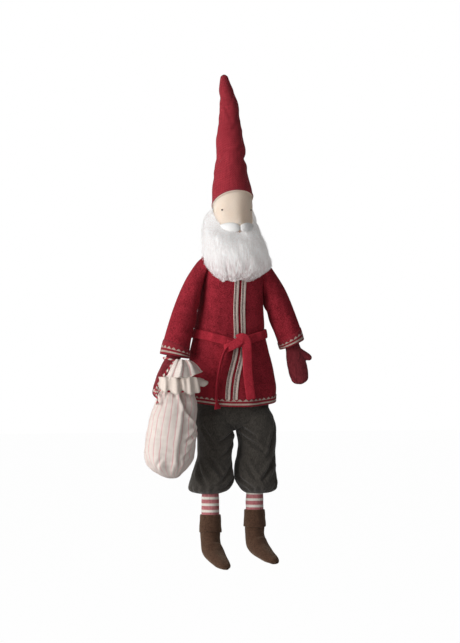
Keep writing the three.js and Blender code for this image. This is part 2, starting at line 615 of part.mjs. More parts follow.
// Hat: a slim cone with soft dents, its brim cut on a slope that drops to the back
const BRIM_SLOPE = 0.6;
const hatRows = [
  [brim - 0.23 * HAT, 0, 0, HEAD + GAP + LINEN + 0.6, HEAD + GAP + LINEN + 0.6],
  [brim - 0.08 * HAT, 0, -0.5, HEAD + GAP + LINEN + 0.3, HEAD + GAP + LINEN + 0.3],
  [brim + 0.01 * HAT, -1, -0.5, HEAD - 1.2 + GAP + LINEN, HEAD - 1.2 + GAP + LINEN],
  [brim + 0.1 * HAT, -2, 0, 0.9 * HEAD, 0.9 * HEAD],
  [brim + 0.22 * HAT, -2.5, 1, 0.79 * HEAD, 0.79 * HEAD],
  [brim + 0.31 * HAT, -2, 1.5, 0.7 * HEAD, 0.7 * HEAD],
  [brim + 0.41 * HAT, -2.5, 2, 0.73 * HEAD, 0.73 * HEAD],
  [brim + 0.54 * HAT, -3.5, 3, 0.58 * HEAD, 0.58 * HEAD],
  [brim + 0.72 * HAT, -3.5, 4, 0.49 * HEAD, 0.49 * HEAD],
  [brim + 0.86 * HAT, -7, 6, 0.37 * HEAD, 0.37 * HEAD],
  [brim + 0.95 * HAT, -9, 7, 0.24 * HEAD, 0.24 * HEAD],
  [tip, -9.5, 7.5, 0.06 * HEAD, 0.06 * HEAD],
];
const brimCut = solid(new THREE.BoxGeometry(FAR, FAR, FAR).translate(0, 0, -FAR / 2)
  .rotateX(-Math.atan(BRIM_SLOPE)).translate(0, -HEAD, brim));
const hatOuter = upright(hatRows, 0, { sides: ROUND }).subtract(brimCut);
const hatInner = upright(past(hatRows.slice(0, -1), 1), -LINEN, { sides: ROUND });
add('hat', hatOuter.subtract(hatInner).subtract(headGrown), RED_LINEN);
const wadding = upright(hatRows.slice(3, -1), -LINEN - GAP, { sides: ROUND })
  .subtract(box([-FAR, -FAR, 0], [FAR, FAR, brim + 0.11 * HAT])).subtract(headGrown);
add('hat_wadding', wadding, WADDING);

// Sack: a sagging bag, tied at the neck, with its frill fanned out above the tie
const bag = SACK.neck - SACK.low;
const sackRows = [
  [SACK.low, SACK.x + 2, SACK.y, 5, 3],
  [SACK.low + 0.034 * bag, SACK.x, SACK.y, 15, 11],
  [SACK.low + 0.16 * bag, SACK.x - 3, SACK.y, 0.83 * SACK.half, 0.84 * SACK.depth],
  [SACK.low + 0.36 * bag, SACK.x - 1.5, SACK.y, SACK.half, SACK.depth],
  [SACK.low + 0.56 * bag, SACK.x + 1, SACK.y, SACK.half, 0.96 * SACK.depth],
  [SACK.low + 0.79 * bag, SACK.x + 4.5, SACK.y, 0.91 * SACK.half, 0.84 * SACK.depth],
  [SACK.neck - 0.07 * bag, SACK.x + 6, SACK.y - 1, SACK.neckA + 3, SACK.neckB + 4],
  [SACK.neck - 3, SACK.x + 7, SACK.y - 2, SACK.neckA - 1.5, SACK.neckB],
  [SACK.neck + 5, SACK.x + 8, SACK.y - 3, SACK.neckA - 2, SACK.neckB - 0.5],
];
const sackOuter = upright(sackRows, 0, { sides: ROUND });
const inSack = sackRows.slice(1).map(([z, x, y, a, b], i) => [z + (i === 0 ? LINEN : 0), x, y, a, b]);
add('sack_cloth', sackOuter.subtract(upright(past(inSack, 0).map(([z, ...r], i) =>
  [i === inSack.length - 1 ? z + 1 : z, ...r]), -LINEN)), SACKING);
add('sack_filling', upright(inSack.map(([z, ...r], i) => [i === 0 ? z + GAP : z - GAP, ...r]),
  -LINEN - 3 * GAP, { sides: ROUND }), WADDING);

const pleated = (angle) => 1 + FRILL.pleat * Math.cos(FRILL.pleats * angle);
const frillRows = [
  [SACK.neck + 5 + GAP, SACK.x + 9, SACK.y - 4, SACK.neckA - 3, SACK.neckB - 2],
  [SACK.neck + 0.22 * FRILL.rise, FRILL.x - 2, FRILL.y, FRILL.half - 2, FRILL.depth],
  [SACK.neck + 0.58 * FRILL.rise, FRILL.x, FRILL.y, FRILL.half, FRILL.depth + 1],
  [SACK.neck + 0.8 * FRILL.rise, FRILL.x + 4, FRILL.y, 0.64 * FRILL.half, FRILL.depth],
  [SACK.neck + FRILL.rise, FRILL.x + 7, FRILL.y, 0.39 * FRILL.half, 0.5 * FRILL.depth],
];
add('sack_frill', upright(frillRows, 0, { sides: 44, steps: 2, shape: pleated }), SACKING);

// Drawstring: two turns round the neck, a knot, two strands up to the hand and a tail
const windingZ = SACK.neck - 1.2;
const windA = SACK.neckA - 1.5 + TWINE / 2 + 0.7;
const windB = SACK.neckB + TWINE / 2 + 0.7;
const PITCH = TWINE + 0.6;
const KNOT = 3.4;
const LOOP_STEPS = 24;
const CORD_SIDES = 6;
const neckX = SACK.x + 7.2;
const neckY = SACK.y - 2.2;
const windingPoint = (turn) => vec(
  neckX - windA * Math.cos(turns(turn)), neckY + windB * Math.sin(turns(turn)),
  windingZ + PITCH * (turn - WINDING_TURNS / 2));
function winding() {
  const steps = WINDING_TURNS * LOOP_STEPS;
  const rings = [];
  for (let k = 0; k <= steps; k++) {
    const t = (0.03 + 0.94 * k / steps) * WINDING_TURNS;
    const at = windingPoint(t);
    const outward = at.clone().sub(vec(neckX, neckY, at.z)).normalize();
    rings.push(ring(at, outward.multiplyScalar(TWINE / 2), vec(0, 0, TWINE / 2), CORD_SIDES));
  }
  let least = Infinity;
  rings.forEach((r, i) => rings.slice(i + LOOP_STEPS / 2).forEach((s) =>
    r.forEach((p) => s.forEach((q) => { least = Math.min(least, p.distanceTo(q)); }))));
  console.log(`drawstring winding: least gap to itself ${least.toFixed(2)} mm`);
  return skin(rings);
}
add('drawstring_winding', solid(winding()).subtract(upright(sackRows, GAP, { sides: ROUND })), TWINE_RED);

const knotAt = [neckX - windA - TWINE / 2 - KNOT - 0.1, SACK.y - 1, windingZ - 1];
const ball = (at, radius) => solid(new THREE.SphereGeometry(radius, 10, 6).translate(...at));
add('drawstring_knot', ball(knotAt, KNOT), TWINE_RED);
const handX = -(arms.right.inner[0] + arms.right.outer[0]) / 2;
const wristZ = 277;
const strandTop = [handX - 3, -arms.right.lean - MITTEN.depth - TWINE - 2.7, wristZ - 2];
const strandLean = Math.atan2(knotAt[0] - strandTop[0], strandTop[2] - knotAt[2]);
const strand = (shift) => {
  const [dx, dz] = [shift * Math.cos(strandLean), shift * Math.sin(strandLean)];
  const step = (share, y) => [
    THREE.MathUtils.lerp(knotAt[0], strandTop[0], share) + dx, y,
    THREE.MathUtils.lerp(knotAt[2], strandTop[2], share) + dz,
  ];
  return cord([
    step(0.12, knotAt[1] - 1), step(0.35, strandTop[1] - 1),
    step(0.7, strandTop[1] - 0.6), step(1, strandTop[1]),
  ], 10);
};
add('drawstring_strand_outer', strand(-1.7), TWINE_RED);
add('drawstring_strand_inner', strand(1.7), TWINE_RED);
const endKnotAt = [knotAt[0] - 2, knotAt[1] - 14, knotAt[2] - 15];
add('drawstring_tail', cord([
  [knotAt[0] - 0.5, knotAt[1] - KNOT - 0.9, knotAt[2] - 1],
  [knotAt[0] - 1.6, knotAt[1] - 10, knotAt[2] - 5],
  [endKnotAt[0], endKnotAt[1], endKnotAt[2] + 2.6],
], 8), TWINE_RED);
add('drawstring_end_knot', ball(endKnotAt, 2.2), TWINE_RED);

// The loop round the wrist: a closed ring of twine above the thumb
const LOOP_FACETS = 20;
function wristLoop() {
  const { cuff, end } = handAxis(arms.right);
  const along = end.clone().sub(cuff).normalize();
  const across = vec(1, 0, 0).addScaledVector(along, -along.x).normalize();
  const middle = cuff.clone().addScaledVector(along, cuff.z - wristZ);
  return Array.from({ length: LOOP_FACETS }, (_, k) => {
    const angle = turns(k / LOOP_FACETS);
    const out = across.clone().multiplyScalar((MITTEN.wrist + 3.2) * Math.cos(angle))
      .add(vec(0, (MITTEN.depth + 2.4) * Math.sin(angle), 0));
    return ring(middle.clone().add(out), out.clone().setLength(TWINE / 2),
      along.clone().multiplyScalar(TWINE / 2), CORD_SIDES);
  });
}
add('wrist_loop', hoop(wristLoop()), TWINE_RED);

// A ring of rings closed on itself, without caps
function hoop(rings) {
  const sides = rings[0].length;
  const count = rings.length;
  const faces = [];
  for (let k = 0; k < count; k++) {
    for (let i = 0; i < sides; i++) {
      const [a, b] = [k * sides + i, k * sides + (i + 1) % sides];
      const [c, d] = [(k + 1) % count * sides + i, (k + 1) % count * sides + (i + 1) % sides];
      faces.push(a, b, d, a, d, c);
    }
  }
  const geometry = new THREE.BufferGeometry().setFromPoints(rings.flat());
  geometry.setIndex(faces);
  return solid(geometry);
}

// The doll hangs from the tip of its hat
const [, tipX, tipY] = hatRows[hatRows.length - 1];
doll.position.set(-tipX, -tipY, -tip);
const group = new THREE.Group();
group.add(doll);

export default group;
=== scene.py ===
# A tall cloth Santa doll with a drawstring sack, dressed over its CAD frame.
# Lengths in this file are millimetres on the doll: x to the viewer's right, y away from the
# viewer, z up from the toe tips. at() turns them into the frame's metres.
import bpy
import bmesh
from functools import partial
from math import atan2, copysign, cos, exp, pi, radians, sin, sqrt
from mathutils import Matrix, Vector, noise


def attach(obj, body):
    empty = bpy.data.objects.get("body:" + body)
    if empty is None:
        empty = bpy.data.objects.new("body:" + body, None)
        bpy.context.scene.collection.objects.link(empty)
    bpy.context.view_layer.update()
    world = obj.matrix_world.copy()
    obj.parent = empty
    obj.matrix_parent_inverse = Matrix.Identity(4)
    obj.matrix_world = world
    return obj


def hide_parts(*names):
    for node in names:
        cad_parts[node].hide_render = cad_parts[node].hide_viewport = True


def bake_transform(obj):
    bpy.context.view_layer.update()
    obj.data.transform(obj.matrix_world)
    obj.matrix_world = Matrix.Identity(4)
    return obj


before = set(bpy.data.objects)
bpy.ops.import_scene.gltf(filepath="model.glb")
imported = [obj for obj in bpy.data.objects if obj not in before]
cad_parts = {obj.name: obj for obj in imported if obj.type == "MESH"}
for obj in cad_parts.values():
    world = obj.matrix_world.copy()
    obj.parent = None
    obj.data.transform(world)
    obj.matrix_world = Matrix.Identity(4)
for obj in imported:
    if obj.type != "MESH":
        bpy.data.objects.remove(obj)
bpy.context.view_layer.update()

# ---------------------------------------------------------------- places and sizes
HAT_TIP = Vector((-9.5, 7.5, 662.0))  # the frame's origin on the doll
HEM, WAIST, SHOULDER, NECK, BRIM, TIP = 216.5, 301.0, 395.0, 432.0, 506.0, 662.0
HIP, TROUSER_HEM, BOOT_TOP, ANKLE = 188.0, 100.0, 72.0, 49.0
HEAD, SOCK = 26.3, 12.0  # radii
LEG_SPACING, LEG_TOP, SEAT_BOTTOM, SEAT_TOP = 31.0, 215.0, 187.0, 262.0
BRIM_SLOPE = 0.6
SACK_BOTTOM, SACK_TOP = 122.6, 247.0
FLOOR, FLOOR_SIZE = -108.0, 9  # its height on the doll, and half its side in metres
SIDES = {"right": -1, "left": 1}  # the doll's own right is on the viewer's left
TAU = 2 * pi


def at(x, y, z):
    return (Vector((x, y, z)) - HAT_TIP) / 1000


def mix(a, b, t):
    return a + (b - a) * t


def ease(t):
    t = min(max(t, 0.0), 1.0)
    return t * t * (3 - 2 * t)


def bell(x, middle, width):
    return exp(-(((x - middle) / width) ** 2))


def soft_noise(x, y, z, size, seed=0.0):
    return noise.noise(Vector((x / size + 7.3 * seed, y / size - 3.1 * seed, z / size + 5.7 * seed)))


def turned(angle):
    """The same angle, between -pi and pi."""
    return (angle + pi) % TAU - pi


def around(u):
    """The angle at share u of a full turn that starts behind the doll."""
    return pi + TAU * u


def new_object(name, data):
    item = bpy.data.objects.new(name, data)
    bpy.context.scene.collection.objects.link(item)
    return item


# ---------------------------------------------------------------- camera, light and floor
VIEW = radians(17)  # the photograph is taken from a little to the doll's right
DISTANCE = 4.788  # metres
ahead = Vector((sin(VIEW), cos(VIEW), 0))
look_at = at(-3.2, 1.0, 330.3)

camera_data = bpy.data.cameras.new("camera")
camera_data.lens = 200
camera = new_object("camera", camera_data)
camera.location = look_at - ahead * DISTANCE
camera.rotation_euler = (pi / 2, 0, -VIEW)
bpy.context.scene.camera = camera

for name, spot, size, power in (
        ("key_lamp", (-2.6, -1.0, 0.25), (1.5, 1.8), 71), ("front_lamp", (-0.9, -2.5, 0.1), (1.4, 1.6), 5),
        ("back_lamp", (1.6, 1.9, 0.6), (1.0, 1.4), 2)):
    light = bpy.data.lights.new(name, "AREA")
    light.shape = "RECTANGLE"
    light.size, light.size_y = size
    light.energy = power
    lamp = new_object(name, light)
    lamp.location = spot
    lamp.rotation_euler = (look_at - lamp.location).to_track_quat("-Z", "Y").to_euler()

world = bpy.data.worlds.new("studio")
bpy.context.scene.world = world
world.use_nodes = True
bpy.context.scene.view_settings.view_transform = "Standard"


# ---------------------------------------------------------------- finishes
def feed(tree, node, inputs):
    """Each input of a node is either linked or given a value."""
    for key, value in dict(inputs).items():
        if isinstance(value, bpy.types.NodeSocket):
            tree.links.new(value, node.inputs[key])
        else:
            node.inputs[key].default_value = value
    return node


def put(tree, kind, inputs=(), **settings):
    """One node, with its settings and inputs."""
    node = tree.nodes.new("ShaderNode" + kind)
    for key, value in settings.items():
        setattr(node, key, value)
    return feed(tree, node, inputs)


def calculator(operation):
    """A function that adds one math node."""
    return lambda tree, a, b=0.5: put(tree, "Math", {0: a, 1: b}, operation=operation).outputs[0]


plus, minus, times, divided, largest, size_of, fraction, rounded, sine, above = map(calculator, (
    "ADD", "SUBTRACT", "MULTIPLY", "DIVIDE", "MAXIMUM", "ABSOLUTE", "FRACT", "ROUND", "SINE", "GREATER_THAN"))


def blend_colours(tree, share, first, second):
    """Two colours, each a socket or three numbers, mixed by a share."""
    first, second = ((*c, 1) if isinstance(c, tuple) else c for c in (first, second))
    return put(tree, "Mix", {0: share, 6: first, 7: second}, data_type="RGBA").outputs[2]


def contrast(tree, value, low, high):
    """A value spread out between two levels, to 0 and 1."""
    return put(tree, "MapRange", {0: value, 1: low, 2: high}).outputs[0]


def axes(tree, place):
    return put(tree, "SeparateXYZ", {0: place}).outputs


def scaled(tree, place, by):
    return put(tree, "VectorMath", {0: place, 3: by}, operation="SCALE").outputs[0]


def object_mm(tree):
    """The place on the object, in millimetres."""
    return scaled(tree, put(tree, "TexCoord").outputs["Object"], 1000.0)


def cloth_mm(tree):
    """The place along the cut cloth, in millimetres, from the piece's own map."""
    return scaled(tree, put(tree, "UVMap", uv_map="cloth").outputs[0], 100.0)


def stretched(tree, place, *scale):
    return put(tree, "Mapping", {"Vector": place, "Scale": scale}).outputs[0]


def grain(tree, place, scale, detail, roughness=0.5, distortion=0.0):
    """Fractal noise at a place."""
    return put(tree, "TexNoise", {"Vector": place, "Scale": scale, "Detail": detail, "Roughness": roughness,
                                  "Distortion": distortion}).outputs[0]


def wandering(tree, place, scale, detail, reach):
    """A place moved about by slow noise."""
    drift = put(tree, "TexNoise", {"Vector": place, "Scale": scale, "Detail": detail}).outputs["Color"]
    return put(tree, "VectorMath", {0: place, 1: scaled(tree, drift, reach)}, operation="ADD").outputs[0]


def new_material(name, roughness, sheen=0.0, sheen_tint=(1, 1, 1), more=()):
    material = bpy.data.materials.new(name)
    material.use_nodes = True
    tree = material.node_tree
    shader = feed(tree, tree.nodes["Principled BSDF"], {
        "Roughness": roughness, "Specular IOR Level": 0.1, "Sheen Weight": sheen, "Sheen Tint": (*sheen_tint, 1),
        **dict(more)})
    return material, tree, shader


def bump(tree, shader, height, depth):
    node = put(tree, "Bump", {"Height": height, "Distance": depth / 1000, "Strength": 1.0})
    tree.links.new(node.outputs[0], shader.inputs["Normal"])


def cloth(name, texture, dark, light, levels, depth, roughness, sheen, tint=(1, 1, 1), figure=None, more=()):
    """Cloth in two tones; texture(tree) gives tone and height, figure(tree, colour) draws on its colour."""
    material, tree, shader = new_material(name, roughness, sheen, tint, more)
    tone, height = texture(tree)
    colour = blend_colours(tree, contrast(tree, tone, *levels), dark, light)
    if figure:
        colour = figure(tree, colour)
    tree.links.new(colour, shader.inputs["Base Color"])
    if depth:
        bump(tree, shader, height, depth)
    return material


def felt(name, dark, light, blotch, fibre, depth, sheen, tint=(1, 1, 1), more=()):
    """Milled wool or felt: blotches of tone and matted fibres, with a soft bloom at the edges."""
    def texture(tree):
        place = object_mm(tree)
        blotches, fibres = grain(tree, place, 1 / blotch, 3.0), grain(tree, place, 1 / fibre, 4.0, 0.7, 1.2)
        return plus(tree, times(tree, blotches, 0.15), times(tree, fibres, 0.85)), fibres
    return cloth(name, texture, dark, light, (0.38, 0.62), depth, 0.95, sheen, tint, more=more)


def linen(name, dark, light, thread, depth, figure=None, place_mm=cloth_mm, sheen=0.1):
    """Plain-woven cloth: threads over and under each other, with slubs."""
    def texture(tree):
        place = place_mm(tree)
        split = axes(tree, wandering(tree, place, 0.12, 2.0, 2.2))
        crossing = times(tree, *(sine(tree, times(tree, split[i], pi / thread)) for i in (0, 1)))
        slubs = plus(tree, *(grain(tree, stretched(tree, place, *scale), 1.0, 2.0)
                             for scale in ((1.1, 0.05, 1.0), (0.05, 1.1, 1.0))))
        return (plus(tree, times(tree, crossing, share), times(tree, slubs, rest))
                for share, rest in ((0.14, 0.45), (0.5, 0.5)))
    return cloth(name, texture, dark, light, (0.25, 0.65), depth, 0.88, sheen, figure=figure)


def combed(name, dark, light, strand, length, depth, sheen, roughness, figure=None, more=()):
    """Fleece, brushed cotton or knit: fine wavy streaks that run down the doll."""
    def texture(tree):
        swayed = wandering(tree, object_mm(tree), 0.07, 1.0, 9.0)
        streaks = grain(tree, stretched(tree, swayed, 1 / strand, 1 / strand, 1 / length), 1.0, 3.0, 0.65)
        return streaks, streaks
    return cloth(name, texture, dark, light, (0.35, 0.65), depth, roughness, sheen, figure=figure, more=more)


def stripe_mask(tree, value, pitch, middle, half, soft=0.15):
    """1 on a stripe of the given half width about its middle, once in each pitch."""
    turn = minus(tree, fraction(tree, divided(tree, value, pitch)), middle / pitch)
    away = size_of(tree, minus(tree, turn, rounded(tree, turn)))
    return contrast(tree, away, (half + soft) / pitch, (half - soft) / pitch)


def painted_glow(colour, strength):
    """Painted light: a faint emission that lifts the shaded side, standing in for light that loose wool and thin cloth
    let through.
    """
    return {"Emission Color": (*colour, 1), "Emission Strength": strength}


def shaded_thin_tips(tree, white):
    """Darker towards the tips in streaks: painted shade under the beard, mixed with the red wool showing through the
    thin fleece.
    """
    low = contrast(tree, axes(tree, object_mm(tree))[2], -243.0, -272.0)
    streak = grain(tree, stretched(tree, object_mm(tree), 0.45, 0.45, 0.06), 1.0, 3.0)
    share = times(tree, low, contrast(tree, streak, 0.40, 0.66))
    # Painted shade: towards the bottom the white is mixed with a pinkish brown, which also stands for the red wool
    # showing through.
    return blend_colours(tree, times(tree, share, 0.75), white, (0.42, 0.22, 0.225))


def loose_hair(tree):
    return grain(tree, stretched(tree, object_mm(tree), 0.9, 0.9, 0.03), 1.0, 2.0), None


# The second colour here is that of a painted glow: an emission that lifts the shaded side of the white felt and
# fleece.
RED_BLOOM, PAINTED_GLOW_WHITE = (1, 0.25, 0.28), (1.0, 0.98, 0.96)
red_wool = felt("red_wool", (0.11, 0.0065, 0.011), (0.47, 0.036, 0.055), 10, 1.25, 0.6, 0.05, RED_BLOOM)
belt_wool = felt("belt_wool", (0.29, 0.016, 0.027), (0.56, 0.041, 0.064), 8, 1.2, 0.5, 0.05, RED_BLOOM)
mitten_knit = combed("mitten_knit", (0.14, 0.016, 0.022), (0.28, 0.040, 0.050), 1.1, 16, 0.5, 0.12, 0.95)
# The skin's glow is painted light: a faint emission that brightens its shaded side.
skin_cotton = felt("skin_cotton", (0.71, 0.60, 0.505), (0.79, 0.68, 0.575), 14, 0.9, 0.15, 0.15, more={
    "Subsurface Weight": 0.5, "Subsurface Radius": (0.012, 0.010, 0.008), "Subsurface Scale": 1.0,
    **painted_glow((1.0, 0.72, 0.50), 0.07)})
# The white glow on the felt and fleece below is painted light: a faint emission that brightens their shaded side.
white_felt = felt("white_felt", (0.81, 0.80, 0.785), (0.88, 0.87, 0.86), 6, 0.8, 0.25, 0.1,
                  more=painted_glow(PAINTED_GLOW_WHITE, 0.06))
white_fleece = combed("white_fleece", (0.84, 0.825, 0.815), (0.96, 0.957, 0.954), 1.0, 14, 0.3, 0.25, 0.9,
                      shaded_thin_tips, painted_glow(PAINTED_GLOW_WHITE, 0.10))
fleece_hair = cloth("fleece_hair", loose_hair, (0.80, 0.765, 0.755), (0.96, 0.957, 0.954), (0.36, 0.6), 0, 0.7, 0.3,
                    figure=shaded_thin_tips, more=painted_glow(PAINTED_GLOW_WHITE, 0.10))
red_linen = linen("red_linen", (0.218, 0.014, 0.024), (0.468, 0.045, 0.062), 1.25, 0.5, sheen=0.05)
brim_linen = linen("brim_linen", (0.22, 0.020, 0.032), (0.42, 0.05, 0.066), 1.1, 0.3)
charcoal_cotton = combed("charcoal_cotton", (0.041, 0.036, 0.031), (0.088, 0.078, 0.067), 1.0, 3.5, 0.4, 0.2, 0.95)
brown_suede = felt("brown_suede", (0.042, 0.020, 0.012), (0.115, 0.060, 0.038), 7, 1.2, 0.5, 0.35, (1, 0.75, 0.55))
dark_thread = felt("dark_thread", (0.030, 0.014, 0.008), (0.075, 0.036, 0.022), 1.5, 0.5, 0.2, 0.0)
pink_thread = felt("pink_thread", (0.58, 0.36, 0.31), (0.76, 0.54, 0.47), 2, 0.5, 0.2, 0.0)
wadding = felt("wadding", (0.70, 0.66, 0.60), (0.90, 0.87, 0.82), 8, 2.0, 1.0, 0.4)
elastic_braid = linen("elastic_braid", (0.5, 0.46, 0.4), (0.8, 0.76, 0.7), 0.8, 0.3, place_mm=object_mm)
plain_linen = linen("plain_linen", (0.69, 0.565, 0.49), (0.97, 0.865, 0.785), 1.3, 0.4)
hem_linen = linen("hem_linen", (0.62, 0.54, 0.47), (0.90, 0.82, 0.74), 0.9, 0.3)

# World and floor: white to the camera, a soft level light on the doll
tree = world.node_tree
tree.nodes.clear()
rays = put(tree, "LightPath").outputs
seen = largest(tree, largest(tree, rays["Is Camera Ray"], rays["Is Glossy Ray"]), rays["Is Transmission Ray"])
soft_sky, white_sky = (put(tree, "Background", {"Color": (1, 1, 1, 1), "Strength": strength}).outputs[0]
                       for strength in (0.12, 1.0))
both = put(tree, "MixShader", {0: seen, 1: soft_sky, 2: white_sky})
put(tree, "OutputWorld", {0: both.outputs[0]})

floor_paint, tree, shader = new_material("floor_paint", 0.9, more={"Base Color": (0.9, 0.9, 0.9, 1)})
white = put(tree, "Emission", {"Color": (1, 1, 1, 1), "Strength": 1.0})
FLOOR_WHITE = 0.985  # this much of what the camera sees of the floor is plain white, the rest its shade
share = times(tree, put(tree, "LightPath").outputs["Is Camera Ray"], FLOOR_WHITE)
lit = put(tree, "MixShader", {0: share, 1: shader.outputs[0], 2: white.outputs[0]})
tree.links.new(lit.outputs[0], tree.nodes["Material Output"].inputs[0])


# ---------------------------------------------------------------- making shapes
def mesh_object(name, bm, material, body=None, solid=None):
    """A piece that rides on a body and takes the place of a CAD solid."""
    mesh = bpy.data.meshes.new(name)
    bm.to_mesh(mesh)
    bm.free()
    for face in mesh.polygons:
        face.use_smooth = True
    mesh.materials.append(material)
    item = new_object(name, mesh)
    if body:
        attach(item, body)
    if solid:
        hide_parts(solid)
    return item


floor_mesh = bmesh.new()
bmesh.ops.create_grid(floor_mesh, x_segments=1, y_segments=1, size=FLOOR_SIZE)
bmesh.ops.translate(floor_mesh, verts=floor_mesh.verts, vec=at(0, 0, FLOOR))
mesh_object("floor", floor_mesh, floor_paint)


def cloth_mesh(place, columns, rows, wrap=True, shut=False):
    """A cut of cloth laid over the doll: place(u, w) gives each point in millimetres; shut closes its ends."""
    bm = bmesh.new()
    cloth_map = bm.loops.layers.uv.new("cloth")
    bmesh.ops.create_grid(bm, x_segments=columns, y_segments=rows, size=1)
    spots = {v: ((v.co.x + 1) / 2, (v.co.y + 1) / 2) for v in bm.verts}
    wide, tall = (sum((b - a).length for a, b in zip(path, path[1:])) for path in (
        [Vector(place(i / 32, 0.5)) for i in range(33)], [Vector(place(0.25, i / 16)) for i in range(17)]))
    for face in bm.faces:
        for loop in face.loops:
            u, w = spots[loop.vert]
            loop[cloth_map].uv = (u * wide / 100, w * tall / 100)
    for v, (u, w) in spots.items():
        v.co = at(*place(u, w))
    if wrap or shut:
        bmesh.ops.remove_doubles(bm, verts=bm.verts, dist=2e-6)
    if shut:
        bmesh.ops.holes_fill(bm, edges=bm.edges)
    bmesh.ops.recalc_face_normals(bm, faces=bm.faces)
    if wrap or shut:
        middle = sum((v.co for v in bm.verts), Vector()) / len(bm.verts)
        if sum((f.calc_center_median() - middle).dot(f.normal) * f.calc_area() for f in bm.faces) < 0:
            bmesh.ops.reverse_faces(bm, faces=bm.faces)
    return bm


def cloth_form(name, place, columns, rows, material, body, solid=None, wrap=True, wall=0.0, levels=1, shut=False):
    """A piece made of one cut of cloth, with a wall's thickness in millimetres and rounded."""
    item = mesh_object(name, cloth_mesh(place, columns, rows, wrap, shut), material, body, solid)
    if wall:
        shell = item.modifiers.new("wall", "SOLIDIFY")
        shell.thickness = wall / 1000
        shell.offset = -1
    if levels:
        rounder = item.modifiers.new("rounder", "SUBSURF")
        rounder.levels = rounder.render_levels = levels
    return item


def rows_at(rows, z):
    """Rows of numbers sorted by their first column, read at a height along a smooth curve."""
    i = 0
    while i < len(rows) - 2 and rows[i + 1][0] <= z:
        i += 1
    t = min(max((z - rows[i][0]) / (rows[i + 1][0] - rows[i][0]), 0), 1)
    p, q, r, s = (rows[min(max(k, 0), len(rows) - 1)] for k in (i - 1, i, i + 1, i + 2))
    return [b + 0.5 * t * (c - a + (2 * a - 5 * b + 4 * c - d) * t + (3 * b - a - 3 * c + d) * t * t)
            for a, b, c, d in zip(p[1:], q[1:], r[1:], s[1:])]


def along_path(points, t):
    """A point on the smooth curve through some points, t from 0 to 1."""
    return Vector(rows_at([(i / (len(points) - 1), *p) for i, p in enumerate(points)], t))


def way_along(path, w, step):
    """The direction of a path, path(w) giving its points."""
    return (Vector(path(min(w + step, 1))) - Vector(path(max(w - step, 0)))).normalized()


def frame_along(path, w, step):
    """The place on a path, and two directions square to it."""
    way = way_along(path, w, step)
    side = way.cross(Vector((0, 1, 0)))
    if side.length < 0.2:
        side = way.cross(Vector((1, 0, 0)))
    side.normalize()
    return Vector(path(w)), side, way.cross(side)


def tube_point(here, side, up, r, u):
    """A point on a tube round a path's frame."""
    turn = TAU * u
    return here + side * r * cos(turn) + up * r * sin(turn)


def wrapped(spot, low, high, lift=0.0):
    """The place() of cloth that goes round a form, from one height of it to another."""
    return lambda u, w: spot(around(u), mix(low, high, w), lift)


def on_ring(row, angle, out, z):
    """A point beside a ring with this middle and these half widths; angle 0 is its front."""
    x0, y0, a, b = row
    return (x0 + (a + out) * sin(angle), y0 - (b + out) * cos(angle), z)


def round_noise(angle, radius, z, size, seed):
    return soft_noise(sin(angle) * radius, cos(angle) * radius, z, size, seed)


# ---------------------------------------------------------------- the tunic
TUNIC = [
    (HEM, 0.5, 0, 57.5, 35), (HEM + 29.6, 0, 0, 59, 33), (HEM + 63.4, -4.0, 0, 56.4, 30),
    (WAIST, -4.4, 0, 51.9, 27), (WAIST + 37.6, -2.6, 0, 44.6, 27.5), (SHOULDER - 25, -1, -1, 41, 28),
    (SHOULDER, 0, -1, 40, 28), (SHOULDER + 25, 0, 0, 39.5, 23), (NECK - 3.7, 0, 0, 21, 20), (NECK, 0, 0, 18, 17)]
BELT_TOP, BELT_WIDTH, BELT_DROOP = 320.6, 12.2, 13.0


def belt_line(x, front):
    """Height of the belt's top edge: level behind, sinking to the knot in front."""
    return BELT_TOP - (BELT_DROOP * (1 - min(abs(x) / 48, 1)) if front else 0)


def tunic_spot(angle, z, lift=0.0):
    """A point on the tunic; angle 0 is the front, pi / 2 the viewer's right."""
    x0, y0, a, b = rows_at(TUNIC, z)
    c, s = sin(angle), -cos(angle)
    boxy = ease((z - 300) / 25) * ease((NECK - z) / 12)
    wide, deep = (mix(2.0, 1.8, boxy), mix(2.4, 3.2, boxy)) if s < 0 else (mix(2.3, 3.8, boxy),) * 2
    across, back = copysign(abs(c) ** (2 / wide), c), copysign(abs(s) ** (2 / deep), s)
    skirt = ease((WAIST + 4 - z) / 80)
    fold = skirt * (1.5 * sin(5 * angle + 1.2) + 1.0 * sin(9 * angle - 0.6))
    fold += 1.6 * round_noise(angle, 30, z, 26, 1) * (0.4 + skirt)
    belt = belt_line(a * c, s < 0) - BELT_WIDTH / 2
    near = bell(z, belt, 9)
    fold += near * (0.7 * sin(17 * angle) - 1.6)
    push = lift + fold
    rise = 6.5 * abs(c) ** 2.4 * ease((HEM + 55 - z) / 55)
    return (x0 + a * across + push * c, y0 + b * back + push * s, z + rise)


cloth_form("torso_wadding_form", wrapped(tunic_spot, HEM + 44, NECK - 3, -6.5), 40, 30, wadding, "torso",
           "torso_stuffing", shut=True)
tunic = cloth_form("tunic_cloth", wrapped(tunic_spot, HEM, NECK), 96, 60, red_wool, "torso", "tunic", wall=1.9)
TRIM = 10.7  # the woven band's width


